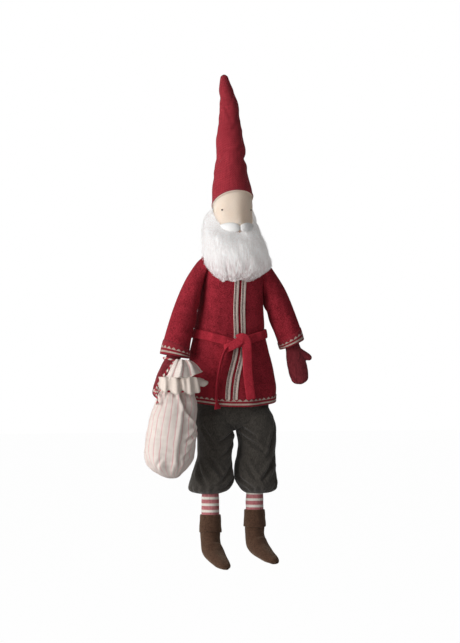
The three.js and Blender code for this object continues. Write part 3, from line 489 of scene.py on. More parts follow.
def trim_figure(tree, woven):
    """An off-white line and a row of teeth between red edges, woven into one band."""
    x, y, _ = axes(tree, cloth_mm(tree))
    line = stripe_mask(tree, y, 40, 3.3, 1.05)
    tooth = size_of(tree, minus(tree, fraction(tree, divided(tree, x, 6.9)), 0.5))
    tooth_top = minus(tree, 10.0, times(tree, tooth, 6.0))
    teeth = times(tree, contrast(tree, minus(tree, tooth_top, y), -0.2, 0.2), contrast(tree, y, 6.9, 7.2))
    ground = contrast(tree, grain(tree, object_mm(tree), 0.9, 3.0), 0.35, 0.65)
    red = blend_colours(tree, ground, (0.20, 0.014, 0.022), (0.36, 0.03, 0.045))
    return blend_colours(tree, largest(tree, line, teeth), red, woven)


trim_braid = linen("trim_braid", (0.30, 0.22, 0.185), (0.74, 0.61, 0.52), 1.1, 0.4, trim_figure)
cloth_form("hem_trim_band", wrapped(tunic_spot, HEM - 0.3, HEM + TRIM, 0.9), 120, 3, trim_braid, "torso", "hem_trim",
           wall=0.9)


# Placket: two braids down the front, slanting under the belt
def placket_figure(tree, woven):
    """A speckled grey braid with a cream line along each edge."""
    speck = grain(tree, object_mm(tree), 0.75, 3.0, 0.8)
    speckled = blend_colours(tree, contrast(tree, speck, 0.36, 0.60), (0.09, 0.065, 0.06), woven)
    edge = above(tree, size_of(tree, minus(tree, axes(tree, cloth_mm(tree))[0], 2.1)), 1.5)
    cream = blend_colours(tree, contrast(tree, speck, 0.3, 0.7), (0.62, 0.49, 0.43), (0.92, 0.79, 0.71))
    return blend_colours(tree, edge, speckled, cream)


grey_braid = linen("grey_braid", (0.24, 0.17, 0.155), (0.72, 0.58, 0.52), 1.0, 0.5, placket_figure)


def front_spot(x, z, lift):
    """The point of the tunic's front at this x and height."""
    low, high = -pi / 2, pi / 2
    for _ in range(26):
        middle = (low + high) / 2
        if tunic_spot(middle, z, lift)[0] < x:
            low = middle
        else:
            high = middle
    return tunic_spot((low + high) / 2, z, lift)


def braid_place(inner, u, w):
    z = mix(HEM + TRIM - 1.5, SHOULDER + 8, w)
    bend = 14.0 * ease((WAIST - 2 - z) / 74) ** 0.8 + 0.6 * sin(z / 13)
    return front_spot(inner + 6.7 * u - bend, z, 1.5)


for name, inner in (("right", -6.9), ("left", 3.2)):
    cloth_form(f"placket_braid_{name}_strip", partial(braid_place, inner), 4, 60, grey_braid, "torso",
               f"placket_braid_{name}", wrap=False, wall=1.0)


# Belt: a flat band of the same wool, tied in front with its tails hanging
def belt_place(u, w):
    angle = around(u)
    z = belt_line(48 * sin(angle), cos(angle) > 0) - BELT_WIDTH * (1 - w)
    return tunic_spot(angle, z, 3.9 - 1.2 * (2 * w - 1) ** 2)


belt = cloth_form("belt_band_cloth", belt_place, 96, 5, belt_wool, "torso", "belt_band", wall=1.8)


# The knot: the band crosses over itself and turns down into one tail
def strip(name, solid, width, twist, spots, thick=1.7):
    """A flat strip of belt cloth along (x, z, lift) spots on the tunic's front, turned by twist(w)."""
    path = [front_spot(*spot) for spot in spots]

    def place(u, w):
        way = way_along(lambda t: along_path(path, t), w, 0.02)
        side = way.cross(Vector((0, -1, 0))).normalized()
        side.rotate(Matrix.Rotation(twist(w), 3, way))
        lift = side.cross(way).normalized() * (0.5 * (1 - (2 * u - 1) ** 2))
        return along_path(path, w) + side * (2 * u - 1) * width / 2 + lift
    return cloth_form(name, place, 5, 26, belt_wool, "torso", solid, wrap=False, wall=thick)


strip("belt_knot_under", None, 11.0, lambda t: 0.25 * sin(pi * t), [
    (-18, 301.5, 5.0), (-9, 299.6, 7.0), (0, 301.5, 9.5), (9, 305.0, 8.0), (17, 306.5, 5.0)])
strip("belt_knot_wrap", "belt_knot", 11.4, lambda t: -0.25 * sin(pi * t), [
    (-20, 294.8, 4.4), (-15, 296.4, 10.0), (-6, 301.4, 13.0), (1, 306.6, 12.4), (6.5, 306.4, 10.6),
    (9.0, 299.0, 8.4), (9.2, 290.0, 6.8)], 2.0)
tail_left = strip("belt_tail_left_strip", "belt_tail_left", 13.4, lambda t: 0.3 * bell(t, 0.3, 0.15), [
    (-4.5, 306.5, 11.5), (1.5, 308.6, 14.4), (6.2, 305.0, 15.0), (8.2, 296.0, 12.0), (8.8, 284.0, 8.6),
    (9.0, 265.0, 6.6), (11.0, 245.0, 5.4), (13.6, 226.5, 5.0)])
tail_right = strip(
    "belt_tail_right_strip", "belt_tail_right", 11.0, lambda t: -1.08 + 0.75 * ease((t - 0.82) / 0.18), [
        (-14, 298.0, 6.0), (-22.0, 291.0, 7.5), (-28.0, 276.0, 8.2), (-32.0, 255.0, 8.2), (-34.0, 235.0, 7.6),
        (-33.5, 222.0, 7.0), (-32.0, 212.5, 6.8)])


# ---------------------------------------------------------------- head, eyes and mouth
HEAD_ROWS = [
    (NECK - 6, 0, 0, 14, 13), (NECK + 10, 0, -1, 22, 22), (NECK + 29.6, 0, -1, 26.0, 26.3),
    (BRIM - 18.5, 0, -1, 26.3, 26.3), (BRIM, 0, -1, 24.6, 24.6), (BRIM + 12, -1, -0.5, 21.6, 21.6),
    (BRIM + 20, -1.5, 0, 15, 15)]
NOSE_Z = NECK + 29.6


def head_spot(angle, z, lift=0.0):
    """A point on the head; angle 0 is the front. A seam runs down the face and over the nose."""
    row = rows_at(HEAD_ROWS, z)
    reach = 0.3 * bell(angle, 0, 0.34) * ease((BRIM - 2 - z) / 8)
    nose = 3.2 * exp(-(((z - NOSE_Z) / (4.0 if z < NOSE_Z else 9.0)) ** 2))
    reach += nose * bell(angle, 0.04, 0.36)
    for side in (-1, 1):
        reach -= 1.1 * bell(angle, side * 0.42, 0.3) * bell(z, BRIM - 26, 9)
        reach += 0.7 * bell(angle, side * 0.62, 0.3) * bell(z, NECK + 26, 9)
    return on_ring(row, angle, reach + 0.35 * round_noise(angle, row[2], z, 9, 4) + lift, z)


head = cloth_form("head_cloth", lambda u, w: head_spot(
    turned(pi + TAU * (u + 0.035 * sin(2 * TAU * u))), mix(NECK - 6, BRIM + 20, w)),
    96, 64, skin_cotton, "torso", "head", shut=True)


def embroidered(name, solid, middle_angle, middle_z, width, height, stitches, material):
    """A little patch of satin stitches, each a thread laid on the cloth."""
    bm = bmesh.new()
    for k in range(stitches):
        share = (k + 0.5) / stitches * 2 - 1
        half = height / 2 * sqrt(1 - share * share * 0.9)
        made = bmesh.ops.create_cone(bm, segments=6, radius1=1, radius2=1, depth=2, cap_ends=True)["verts"]
        bmesh.ops.subdivide_edges(bm, edges=[e for e in bm.edges if e.verts[0] in made and e.verts[1] in made and
                                             abs(e.verts[0].co.z - e.verts[1].co.z) > 1], cuts=4)
        angle = middle_angle + share * width / 2 / HEAD
        thick = width / stitches * 0.62
        for v in [v for v in bm.verts if not v.tag]:
            round_off = sqrt(max(1 - abs(v.co.z) ** 3, 0.05))
            spot = head_spot(angle + v.co.x * thick * round_off / HEAD, middle_z + v.co.z * half,
                             0.15 + 0.5 * round_off + v.co.y * thick * round_off)
            v.co = at(*spot)
            v.tag = True
    bmesh.ops.recalc_face_normals(bm, faces=bm.faces)
    mesh_object(name, bm, material, "torso", solid)


EYE_ANGLE = radians(49)
for name, side in SIDES.items():
    embroidered(f"eye_{name}_stitches", f"eye_{name}", side * EYE_ANGLE, BRIM - 26.8, 2.6, 2.5, 5, dark_thread)
embroidered("mouth_stitches", "mouth_stitch", 0.03, NECK + 17.4, 8.0, 1.6, 9, pink_thread)


# Moustache: two plump felt drops, meeting under the nose and tilting down to their tips
def pod_place(side, u, w):
    turn = TAU * u
    swell = max(sin(pi * w ** 0.72), 0) ** 0.55
    flat = 7.0 * swell * (1 - 0.22 * w)
    thick = 4.6 * swell * (1 - 0.3 * w)
    bend = -0.02 + 1.08 * w
    z = NOSE_Z - 6.5 + flat * cos(turn) + 2.6 * w
    out = 27.4 + thick * sin(turn)
    return (out * sin(side * bend + 0.06), -1 - out * cos(side * bend + 0.06), z)


pods = [cloth_form(f"moustache_{name}_felt", partial(pod_place, side), 20, 20, white_felt, "torso",
                   f"moustache_{name}") for name, side in SIDES.items()]

# ---------------------------------------------------------------- hat
HAT = [
    (BRIM - 36, 0, -0.5, 27.9, 28.0), (BRIM - 12, 0, -0.5, 27.6, 27.8), (BRIM + 2, -1, -0.5, 26.6, 26.8),
    (BRIM + 16, -2, 0, 23.7, 23.7), (BRIM + 34, -2.2, 1, 20.7, 20.8), (BRIM + 48, -2, 1.5, 18.8, 18.6),
    (BRIM + 64, -2.5, 2, 18.3, 18.6), (BRIM + 84, -3.5, 3, 15.3, 15.3), (BRIM + 112, -3.5, 4, 12.8, 12.8),
    (BRIM + 134.2, -7, 6, 9.8, 9.8), (BRIM + 148.2, -9, 7, 6.2, 6.2), (BRIM + 153, -9.4, 7.3, 5.0, 5.0),
    (BRIM + 155.4, -9.5, 7.5, 2.8, 2.8), (TIP, -9.5, 7.5, 0.6, 0.6)]


HAT_DENTS = (  # at an angle: how far out, height above the brim, half height
    (-1.75, ((0.6, 26, 9), (-0.9, 42, 4), (0.6, 60, 10), (-0.6, 98, 8), (-0.9, 127, 7))),
    (1.35, ((1.3, 30, 6), (-2.0, 42, 3.6), (1.6, 55, 9), (0.8, 82, 9), (0.6, 118, 10))))
HAT_CREASES = (  # angle, height above the brim, tilt, depth
    (0.95, 45, -16, 2.0), (0.62, 60, 22, 1.4), (-1.15, 42, 18, 1.8), (0.2, 84, 20, 0.9), (-0.6, 106, -24, 0.9),
    (0.5, 128, 20, 0.9))


def brim_height(angle):
    """The hat's edge: high on the forehead, lower behind, and a little lower on the right than on the left."""
    return BRIM - BRIM_SLOPE * 27.5 * (1 - cos(angle)) * (1 - 0.28 * ease(0.5 + sin(angle)))


def hat_spot(angle, w, lift=0.0):
    """A point on the hat, w from the sloping brim to the tip."""
    z = mix(brim_height(angle), TIP, w)
    slack = ease((z - BRIM - 6) / 20) * ease((TIP - 4 - z) / 30)
    crumple = 1.2 * round_noise(angle, 16, z, 24, 2) + 0.9 * round_noise(angle, 16, z, 9, 22)
    for side, dents in HAT_DENTS:
        crumple += bell(turned(angle - side), 0, 0.42) * sum(
            deep * bell(z, BRIM + height, tall) for deep, height, tall in dents)
    for middle, height, tilt, deep in HAT_CREASES:
        crumple -= deep * bell(z, BRIM + height + tilt * turned(angle - middle), 3.4) * bell(
            turned(angle - middle), 0, 0.5)
    return on_ring(rows_at(HAT, z), angle, lift + slack * crumple, z)


cloth_form("hat_wadding_form", wrapped(hat_spot, 0.2, 0.985, -2.0), 28, 36, wadding, "torso", "hat_wadding")
hat = cloth_form("hat_cloth", wrapped(hat_spot, 0, 1), 56, 80, red_linen, "torso", "hat", wall=1.1)


def hat_roll(out, wide, up, high, u, w):
    """A roll of cloth along the hat's edge, w going round it."""
    x, y, z = hat_spot(around(u), 0.0, out + wide * cos(TAU * w))
    return (x, y, z + up + high * sin(TAU * w))


# Brim: the linen folded under and pressed, a little brighter along the fold
cloth_form("hat_brim_fold", partial(hat_roll, 0.1, 0.6, 0.9, 1.2), 72, 10, brim_linen, "torso")
# A thin pale roll of the face's cotton just under the hat's edge: a painted highlight line along the brim.
cloth_form("hat_edge_highlight_roll", partial(hat_roll, -0.3, 0.5, -1.1, 0.9), 72, 8, skin_cotton, "torso")

# ---------------------------------------------------------------- beard and hair
BEARD = [
    (386, -1, -23, 22, 11), (390, 0, -22, 29, 17), (397, 3, -17, 37.6, 27), (404, 3.8, -14, 44, 32.6),
    (411, 2.8, -12, 44.2, 35), (419, 1.5, -10, 43, 37), (430, 0, -8, 42.6, 38), (446, -2.4, -4, 39.2, 36.5),
    (460, -3, -1, 36.2, 34), (472, -3.6, 0, 32.6, 31), (480, -2.4, 0, 29.6, 29), (487, -0.5, 0, 27.4, 27.6)]
HAIR = [
    (408, 0, 16, 22, 20), (418, 0, 11, 33, 25), (430, 0, 7, 36.5, 31), (450, 0, 3, 34.5, 33),
    (469, 0, 1, 31, 30.5), (484, 0, 0, 28.6, 28.4)]

BEARD_EDGE = [
    (0, 448.4), (0.17, 448.9), (0.36, 451.2), (0.62, 453.2), (0.83, 456.5), (1.04, 461.5), (1.19, 465), (1.37, 470),
    (1.55, 475), (1.8, 481), (2.0, 484)]
BEARD_REACH, HAIR_START = 1.95, 1.55  # angles where each ends and starts


def from_skin(row, start):
    """A fleece's ring: close to the head where it starts, then its own."""
    return [mix(near, far, start) for near, far in zip((0, -1, 26.9, 27.2), row)]


def layer(spot, angle, u, w, thick):
    """A thick layer of fleece: over the outside to the tips, then back up underneath."""
    if w < 0.6:
        return spot(angle, w / 0.6)
    t = 1 - (w - 0.6) / 0.4
    edge = ease((1 - abs(2 * u - 1)) / 0.08)
    return spot(angle, t, -thick * ease((1 - t) / 0.35) * ease(t / 0.3) * edge)


def beard_top(angle):
    """The beard starts under the mouth, climbs along the moustache and then up behind the cheeks."""
    return rows_at(BEARD_EDGE, abs(angle))[0]


def beard_bottom(angle):
    flat = mix(0.85, 1.3, ease(0.5 + angle))
    return 388.5 + 20 * ease((abs(angle + 0.25) - flat) / 1.1) + 1.0 * sin(7 * angle + 1)


def beard_spot(angle, t, lift=0.0):
    """t from the beard's upper edge to its tips; angle 0 is the front."""
    z = mix(beard_top(angle), beard_bottom(angle), t)
    start = sin(pi / 2 * min(max(t, 0) / mix(0.26, 0.15, ease((abs(angle) - 0.9) / 0.7)), 1))
    low = ease((436 - z) / 40)
    lock = mix(0.2, 0.6, low) * sin(11 * angle + 2.4 * sin(z / 17))
    lock += 1.5 * soft_noise(angle * 22, 0, z, 12, 3) + mix(0.3, 0.8, low) * soft_noise(angle * 40, 0, z * 0.35, 5, 5)
    return on_ring(from_skin(rows_at(BEARD, max(z, 386)), start), angle, lift + lock * start, z)


cloth_form("beard_fleece", lambda u, w: layer(beard_spot, mix(-BEARD_REACH, BEARD_REACH, u), u, w, 9.0), 90, 64,
           white_fleece, "torso", "beard", wrap=False, shut=True)


def hair_spot(angle, t, lift=0.0):
    """Hair hangs behind from under the hat; angle pi is the back."""
    brim = min(brim_height(angle) + 3, 482)
    low = 411 + 5 * sin(5 * angle) + 9 * (1 - ease((abs(angle) - 1.4) / 0.9))
    z = mix(brim, low, t)
    start = sin(pi / 2 * min(t / 0.2, 1))
    lock = 1.4 * sin(9 * angle + 2.0 * sin(z / 15)) + 2.2 * soft_noise(angle * 14, 9, z, 9, 6)
    return on_ring(from_skin(rows_at(HAIR, z), start), angle, lift + lock * start, z)


def hair_place(u, w):
    return layer(hair_spot, turned(mix(HAIR_START, TAU - HAIR_START, u)), u, w, 6.0)


cloth_form("hair_fleece", hair_place, 80, 52, white_fleece, "torso", "hair", wrap=False, shut=True)


def wisps(name, count, spot, length, seed, spread, tops, width=0.34):
    """Loose hairs lying on a fleece: thin tapering blades that wave and part from it at their ends."""
    bm = bmesh.new()
    last = 2 * count - 1  # one wide grid, cut between the blades
    bmesh.ops.create_grid(bm, x_segments=last, y_segments=7, size=1)
    columns = [[] for _ in range(last + 1)]
    for v in bm.verts:
        v.index = round((v.co.x + 1) / 2 * last)
        columns[v.index].append(v)
    bmesh.ops.delete(bm, geom=[edge for edge in bm.edges if {vert.index % 2 for vert in edge.verts} == {0, 1}
                               and min(vert.index for vert in edge.verts) % 2], context="EDGES")
    for k in range(count):
        def random(salt, k=k):
            return noise.noise(Vector((k * 1.713 + seed * 3.1, salt * 7.77 + k * 0.391, seed + 0.5))) * 0.9 + 0.5
        angle = mix(*spread, (k * 0.618034) % 1)  # the golden ratio spreads them evenly
        top = mix(*tops, (k * 0.7548777) % 1)
        reach = length * mix(0.5, 1.15, min(max(random(1), 0), 1))
        sway = 0.10 * (random(2) - 0.5)
        wave = 0.018 * (random(3) + 0.4)
        phase = 6.3 * random(4)
        lifted = 0.4 + 4.2 * max(random(5) - 0.35, 0)
        for side, v in [(-1, v) for v in columns[2 * k]] + [(1, v) for v in columns[2 * k + 1]]:
            t = (v.co.y + 1) / 2
            taper = width * (1 - t ** 2.2) + 0.05
            bend = angle + sway * t + wave * sin(phase + 7 * t)
            v.co = at(*spot(bend + side * taper / 30, min(top + reach * t, 1.07), lifted * (0.25 + t * t)))
    mesh_object(name, bm, fleece_hair, "torso")


wisps("beard_wisps", 6500, beard_spot, 0.36, 1, (-BEARD_REACH, BEARD_REACH), (-0.03, 0.84), 0.27)
wisps("hair_wisps", 2200, lambda a, t, l: hair_spot(turned(a), t, l), 0.45, 2, (HAIR_START, TAU - HAIR_START),
      (0.0, 0.75))


# ---------------------------------------------------------------- sleeves and mittens
ARMS = {
    "right": dict(side=-1, inner=(66.5, 281), outer=(104, 288), lean=14, hand=(108, 226.5), pit=(9, 14)),
    "left": dict(side=1, inner=(66.6, 293), outer=(98.5, 307), lean=4, hand=(94, 246), pit=(4, 6))}
ROOT, SLEEVE = 35.0, 118.0  # where a sleeve leaves the chest, and its length


def curve4(points, t):
    s = 1 - t
    return [s ** 3 * a + 3 * s * s * t * b + 3 * s * t * t * c + t ** 3 * d for a, b, c, d in zip(*points)]


def sleeve_ring(arm, t):
    """Middle, half width vector and depth of the sleeve at share t of its length."""
    top, under = SHOULDER + 25, SHOULDER - 25
    out, inn = arm["outer"], arm["inner"]
    pit_x, pit_z = ROOT + arm["pit"][0], under + arm["pit"][1]
    outer, inner = (Vector((arm["side"] * x, 0, z)) for x, z in (
        curve4([(ROOT, top), (0.72 * ROOT + 0.28 * out[0], top - 6),
                (0.28 * ROOT + 0.72 * out[0], 0.55 * top + 0.45 * out[1]), out], t),
        curve4([(pit_x, pit_z), (0.86 * pit_x + 0.14 * inn[0], 0.72 * pit_z + 0.28 * inn[1]),
                (0.45 * pit_x + 0.55 * inn[0], 0.4 * pit_z + 0.6 * inn[1]), inn], t)))
    middle = (outer + inner) / 2 + Vector((0, -arm["lean"] * t * t, 0))
    return middle, (outer - inner) / 2, mix(15, 17.5, min(1, 2.5 * t))


def sleeve_spot(arm, angle, t, lift=0.0):
    """angle 0 is the outer edge of the sleeve, pi / 2 its back."""
    middle, half, depth = sleeve_ring(arm, t)
    free = ease(t / 0.15)
    fold = 1.3 * sin(26 * t + 1.5 * cos(angle)) * max(-cos(angle), 0) * bell(t, 0.3, 0.25)
    fold += 1.5 * soft_noise(20 * cos(angle) + 60 * arm["side"], 20 * sin(angle), 100 * t, 22, 7)
    out = lift + fold * free
    return middle + half * (1 + out / half.length) * cos(angle) + Vector((0, (depth + out) * sin(angle), 0))


for name, arm in ARMS.items():
    body = f"arm_{name}"
    spot = partial(sleeve_spot, arm)
    cloth_form(f"sleeve_{name}_cloth", wrapped(spot, 0, 1), 40, 48, red_wool, body, f"sleeve_{name}", wall=1.9)
    cloth_form(f"arm_wadding_{name}_form", wrapped(spot, 0.06, 0.96, -5.0), 24, 24, wadding, body,
               f"arm_stuffed_{name}", shut=True)
    cloth_form(f"cuff_trim_{name}_band", wrapped(spot, 1.003, 1.003 - TRIM / SLEEVE, 0.9), 48, 3, trim_braid, body,
               f"cuff_trim_{name}", wall=0.9)


def mitten(name, arm):
    """Palm and thumb, fused into one knitted shape by a fine remesh."""
    side = arm["side"]
    cuff = Vector((side * (arm["inner"][0] + arm["outer"][0]) / 2, -arm["lean"],
                   (arm["inner"][1] + arm["outer"][1]) / 2))
    end = Vector((side * arm["hand"][0], -arm["lean"] - 5, arm["hand"][1]))
    way = (end - cuff).normalized()
    length = (end - cuff).length
    across = (Vector((1, 0, 0)) - way * way.x).normalized()
    palm = [(-13, 8.6, 6.4), (0, 9.8, 6.9), (0.2 * length, 11.6, 7.4), (0.45 * length, 13.4, 7.6),
            (0.7 * length, 13.6, 7.2), (length - 6, 12.0, 6.2), (length - 2, 8.4, 4.6), (length + 0.4, 1.0, 0.8)]

    def palm_place(u, w):
        d = mix(palm[0][0], palm[-1][0], w)
        a, b = rows_at(palm, d)
        turn = TAU * u
        bulge = 0.7 * soft_noise(10 * cos(turn), 10 * sin(turn) + 50 * side, d, 8, 8)
        return cuff + way * d + across * (a + bulge) * cos(turn) + Vector((0, (b + bulge) * sin(turn), 0))

    root = cuff + way * 0.20 * length + across * 5
    tip_at = cuff + way * 0.44 * length + across * 21
    thumb_way = tip_at - root
    thumb_side = Vector((-thumb_way.z, 0, thumb_way.x)).normalized()
    thumb = [(0, 6.2), (0.45, 5.6), (0.8, 4.9), (1.0, 3.6), (1.1, 0.6)]

    def thumb_place(u, w):
        t = thumb[-1][0] * w
        (r,) = rows_at(thumb, t)
        turn = TAU * u
        return root + thumb_way * t + thumb_side * r * cos(turn) + Vector((0, 0.95 * r * sin(turn), 0))

    bm = cloth_mesh(palm_place, 28, 34)
    thumb_mesh = bpy.data.meshes.new("thumb")
    cloth_mesh(thumb_place, 18, 12).to_mesh(thumb_mesh)
    bm.from_mesh(thumb_mesh)
    bpy.data.meshes.remove(thumb_mesh)
    bmesh.ops.holes_fill(bm, edges=bm.edges)
    hand = mesh_object(f"mitten_{name}_knit", bm, mitten_knit, f"arm_{name}", f"mitten_{name}")
    fuse = hand.modifiers.new("fuse", "REMESH")
    fuse.mode = "VOXEL"
    fuse.voxel_size = 0.0011  # metres
    fuse.use_smooth_shade = True
    soften = hand.modifiers.new("soften", "SMOOTH")
    soften.factor = 0.5
    soften.iterations = 6
    return cuff, way, across


hands = {name: mitten(name, arm) for name, arm in ARMS.items()}

# ---------------------------------------------------------------- trousers, socks and boots
RISE = {"right": 0.0, "left": 6.0}  # how much higher the foot hangs
TOE_TURN = {"right": 9, "left": 17}
LEG_ROWS = {  # height, x, y, half width, half depth
    -1: [(100.2, -34, 0, 13.4, 13.2), (101.4, -35, 0, 19.5, 17.5), (104, -34, 0, 25, 23.0), (108, -32.5, 0, 28, 25.5),
         (113, -31, 0, 29, 27.0), (121, -28.6, 0, 29.0, 26.6), (133, -27, 0, 26.8, 25.4), (151, -25, 0, 23.6, 24.0),
         (170, -24.6, 0, 24.6, 25), (188, -26, 0, 25.6, 26), (204, -27, 0, 25, 24.5), (LEG_TOP, -29, 0, 19, 18)],
    1: [(100.2, 34, 0, 13.4, 13.2), (101.4, 36, 0, 18.5, 16.5), (104, 36.6, 0, 22, 21.5), (108, 36, 0, 25, 25),
        (113, 34, 0, 27, 27.0), (121, 31.2, 0, 28.2, 26.6), (133, 31, 0, 28.2, 25.4), (142, 31.6, 0, 27.6, 24.5),
        (151, 33.2, 0, 26, 24.0), (170, 34, 0, 25.8, 25), (188, 32.4, 0, 27.2, 26), (204, 31, 0, 25, 24.5),
        (LEG_TOP, 31, 0, 19, 18)]}
LEG_CREASES = {  # from this angle and height to that one, how deep
    -1: [(1.25, 186, -0.1, 168, 1.8), (1.2, 172, 0.1, 148, 1.4), (-0.9, 190, -0.2, 158, 1.2),
         (-0.6, 150, 0.3, 122, 1.6), (0.9, 140, 0.2, 116, 1.4), (-1.2, 138, -0.5, 112, 1.6),
         (1.2, 126, 0.6, 108, 1.2)],
    1: [(-1.25, 192, -0.3, 176, 2.0), (-1.0, 176, 0.1, 158, 1.4), (0.9, 192, 0.4, 150, 1.3),
        (0.9, 148, 0.1, 118, 1.8), (-0.8, 146, -0.2, 118, 1.3), (1.25, 132, 0.8, 110, 1.5),
        (-1.2, 124, -0.6, 108, 1.3)]}


def creased(angle, z, a0, z0, a1, z1, deep, girth=26.0, wide=2.0):
    """A pull in the cloth between two places: a valley with a soft ridge on each side."""
    along = Vector(((a1 - a0) * girth, z1 - z0))
    here = Vector((turned(angle - a0) * girth, z - z0))
    t = min(max(here.dot(along) / along.length_squared, 0), 1)
    away = (here - along * t).length
    return 2.4 * deep * sin(pi * (0.12 + 0.76 * t)) * (
        0.7 * bell(away, 2.4 * wide, 1.4 * wide) - bell(away, 0, wide))


def trouser_place(side, u, w):
    rows = LEG_ROWS[side]
    angle = around(u)
    z = mix(rows[0][0], LEG_TOP, w ** 1.15)
    x0, y0, a, b = rows_at(rows, z)
    c, s = sin(angle), -cos(angle)
    fold = 1.3 * soft_noise(26 * c + 90 * side, 26 * s, z, 16, 9)
    fold += sum(creased(angle, z, *line) for line in LEG_CREASES[side])
    fold += 1.3 * sin(15 * angle + 1.2 * side) * bell(z, 105.5, 5)
    fold += 0.8 * sin(23 * angle) * bell(z, 101.5, 3)
    for seam in (pi / 2, -pi / 2):
        fold -= 0.9 * bell(turned(angle - seam), 0, 0.05)
    return (x0 + (a + fold) * c, y0 + (b + fold) * s, z)


def seat_place(u, w):
    """The seat joins the legs; it hangs to the crotch between them."""
    angle = around(u)
    c, s = sin(angle), -cos(angle)
    z = mix(SEAT_BOTTOM, SEAT_TOP, w)
    closing = ease((z - SEAT_BOTTOM) / 9) ** 0.6
    a = mix(mix(50, 52, w), 40, ease((w - 0.6) / 0.4)) * closing
    b = mix(24.5, 20, w) * mix(0.25, 1, closing)
    fold = 0.9 * soft_noise(30 * c, 30 * s, z, 14, 10)
    fold -= 2.4 * bell(turned(angle - 0.16), 0, 0.07) * ease((250 - z) / 20)
    return (a * c + fold, (b + fold) * s, z - 3 * (1 - closing))


cloth_form("trouser_seat_cloth", seat_place, 56, 20, charcoal_cotton, "torso", "trouser_seat")


def jersey_figure(tree, red):
    """White rows round a red jersey."""
    white_row = stripe_mask(tree, axes(tree, cloth_mm(tree))[1], 8.65, 8.45, 1.7, 0.35)
    off_white = blend_colours(tree, grain(tree, object_mm(tree), 1.1, 2.0), (0.66, 0.60, 0.53), (0.86, 0.82, 0.75))
    return blend_colours(tree, white_row, red, off_white)


striped_jersey = linen("striped_jersey", (0.36, 0.10, 0.11), (0.60, 0.24, 0.25), 0.9, 0.35, jersey_figure, object_mm)


def on_leg(side, r, angle, z):
    return (side * LEG_SPACING + r * cos(angle), r * sin(angle), z)


def sock_place(side, rise, u, w):
    angle = TAU * u
    z = mix(BOOT_TOP + rise - 12, TROUSER_HEM + 8, w)
    fold = 0.35 * soft_noise(12 * cos(angle) + 50 * side, 12 * sin(angle), z, 7, 11)
    return on_leg(side, SOCK + fold - 0.6 * bell(z, TROUSER_HEM + 2, 6), angle, z)


BOOT = [  # height, y, half width, half depth, pitch of the ring
    (BOOT_TOP - 1, 0, 12.9, 12.9, 0), (60, 0, 13.2, 13.2, 0), (ANKLE, 0, 13.4, 13.6, 0.02),
    (40, 0, 13.0, 13.4, 0.1), (33, -1.6, 13.2, 13.8, 0.3), (27.2, -4.9, 13.6, 14.6, 0.58),
    (22, -10.6, 13.6, 13.2, 0.9), (17, -18.4, 13.1, 10.8, 1.15), (12.8, -27, 12.2, 9.1, 1.22),
    (9.0, -36, 11.0, 7.9, 1.25), (6.0, -44, 8.6, 5.9, 1.22), (4.2, -48.5, 6.0, 4.2, 1.2), (3.0, -51.2, 1.2, 0.9, 1.2)]


def boot_place(side, rise, toe_turn, u, w):
    turn = radians(toe_turn)
    rows = [(i / (len(BOOT) - 1), *row) for i, row in enumerate(BOOT)]
    angle = TAU * u + pi / 2
    z, y, a, b, pitch = rows_at(rows, w)
    wrinkle = 0.8 * soft_noise(11 * cos(angle) + 40 * side, 11 * sin(angle), 60 * w, 8, 12)
    wrinkle -= 0.5 * bell(w, 0.36, 0.05) * max(-sin(angle), 0)
    a, b = a + wrinkle, b + wrinkle
    flat = 1 - 0.16 * ease((w - 0.45) / 0.3) * (sin(angle) > 0) * sin(angle) ** 2
    px = a * cos(angle)
    py = y + b * flat * sin(angle) * cos(pitch)
    pz = z - b * flat * sin(angle) * sin(pitch)
    return (side * LEG_SPACING + px * cos(turn) - py * sin(turn),
            px * sin(turn) + py * cos(turn), pz + rise)


def boot_cuff_place(side, rise, u, w):
    angle = TAU * u
    z = mix(ANKLE, BOOT_TOP + 0.4, w) + rise + (1 - w) * 0.8 * sin(2 * angle + side)
    r = mix(15.4, 13.9, w) + 0.6 * soft_noise(13 * cos(angle), 13 * sin(angle) + 30 * side, z, 9, 13)
    return on_leg(side, r, angle, z)


for name, side in SIDES.items():
    body, rise = f"leg_{name}", RISE[name]
    cloth_form(f"hem_elastic_{name}_braid", lambda u, w: on_leg(side, 13, TAU * u - pi / 2, mix(102.5, 106, w)),
               32, 3, elastic_braid, body, f"hem_elastic_{name}", wall=0.9)
    trousers = cloth_form(f"trouser_leg_{name}_cloth", partial(trouser_place, side), 72, 60, charcoal_cotton, None,
                          f"trouser_leg_{name}")
    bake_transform(trousers)
    cloth_form(f"leg_{name}_sock", partial(sock_place, side, rise), 32, 24, striped_jersey, body,
               f"leg_stuffed_{name}")
    cloth_form(f"boot_{name}_suede", partial(boot_place, side, rise, TOE_TURN[name]), 36, 52, brown_suede, body,
               f"boot_{name}")
    cloth_form(f"boot_cuff_{name}_suede", partial(boot_cuff_place, side, rise), 40, 12, brown_suede, body,
               f"boot_cuff_{name}", wall=1.5)

# ---------------------------------------------------------------- sack
def sack_figure(tree, woven):
    """Thin pink lines, worn and wavering."""
    place = cloth_mm(tree)
    stripe_at = plus(tree, axes(tree, place)[0], times(tree, grain(tree, place, 0.05, 1.0), 3.0))
    worn = contrast(tree, grain(tree, place, 0.4, 2.0), 0.15, 0.6)
    share = times(tree, stripe_mask(tree, stripe_at, 8.2, 2.0, 0.55, 0.3), worn)
    return blend_colours(tree, share, woven, (0.76, 0.38, 0.39))


striped_linen = linen("striped_linen", (0.72, 0.615, 0.555), (0.97, 0.88, 0.82), 1.3, 0.4, sack_figure)

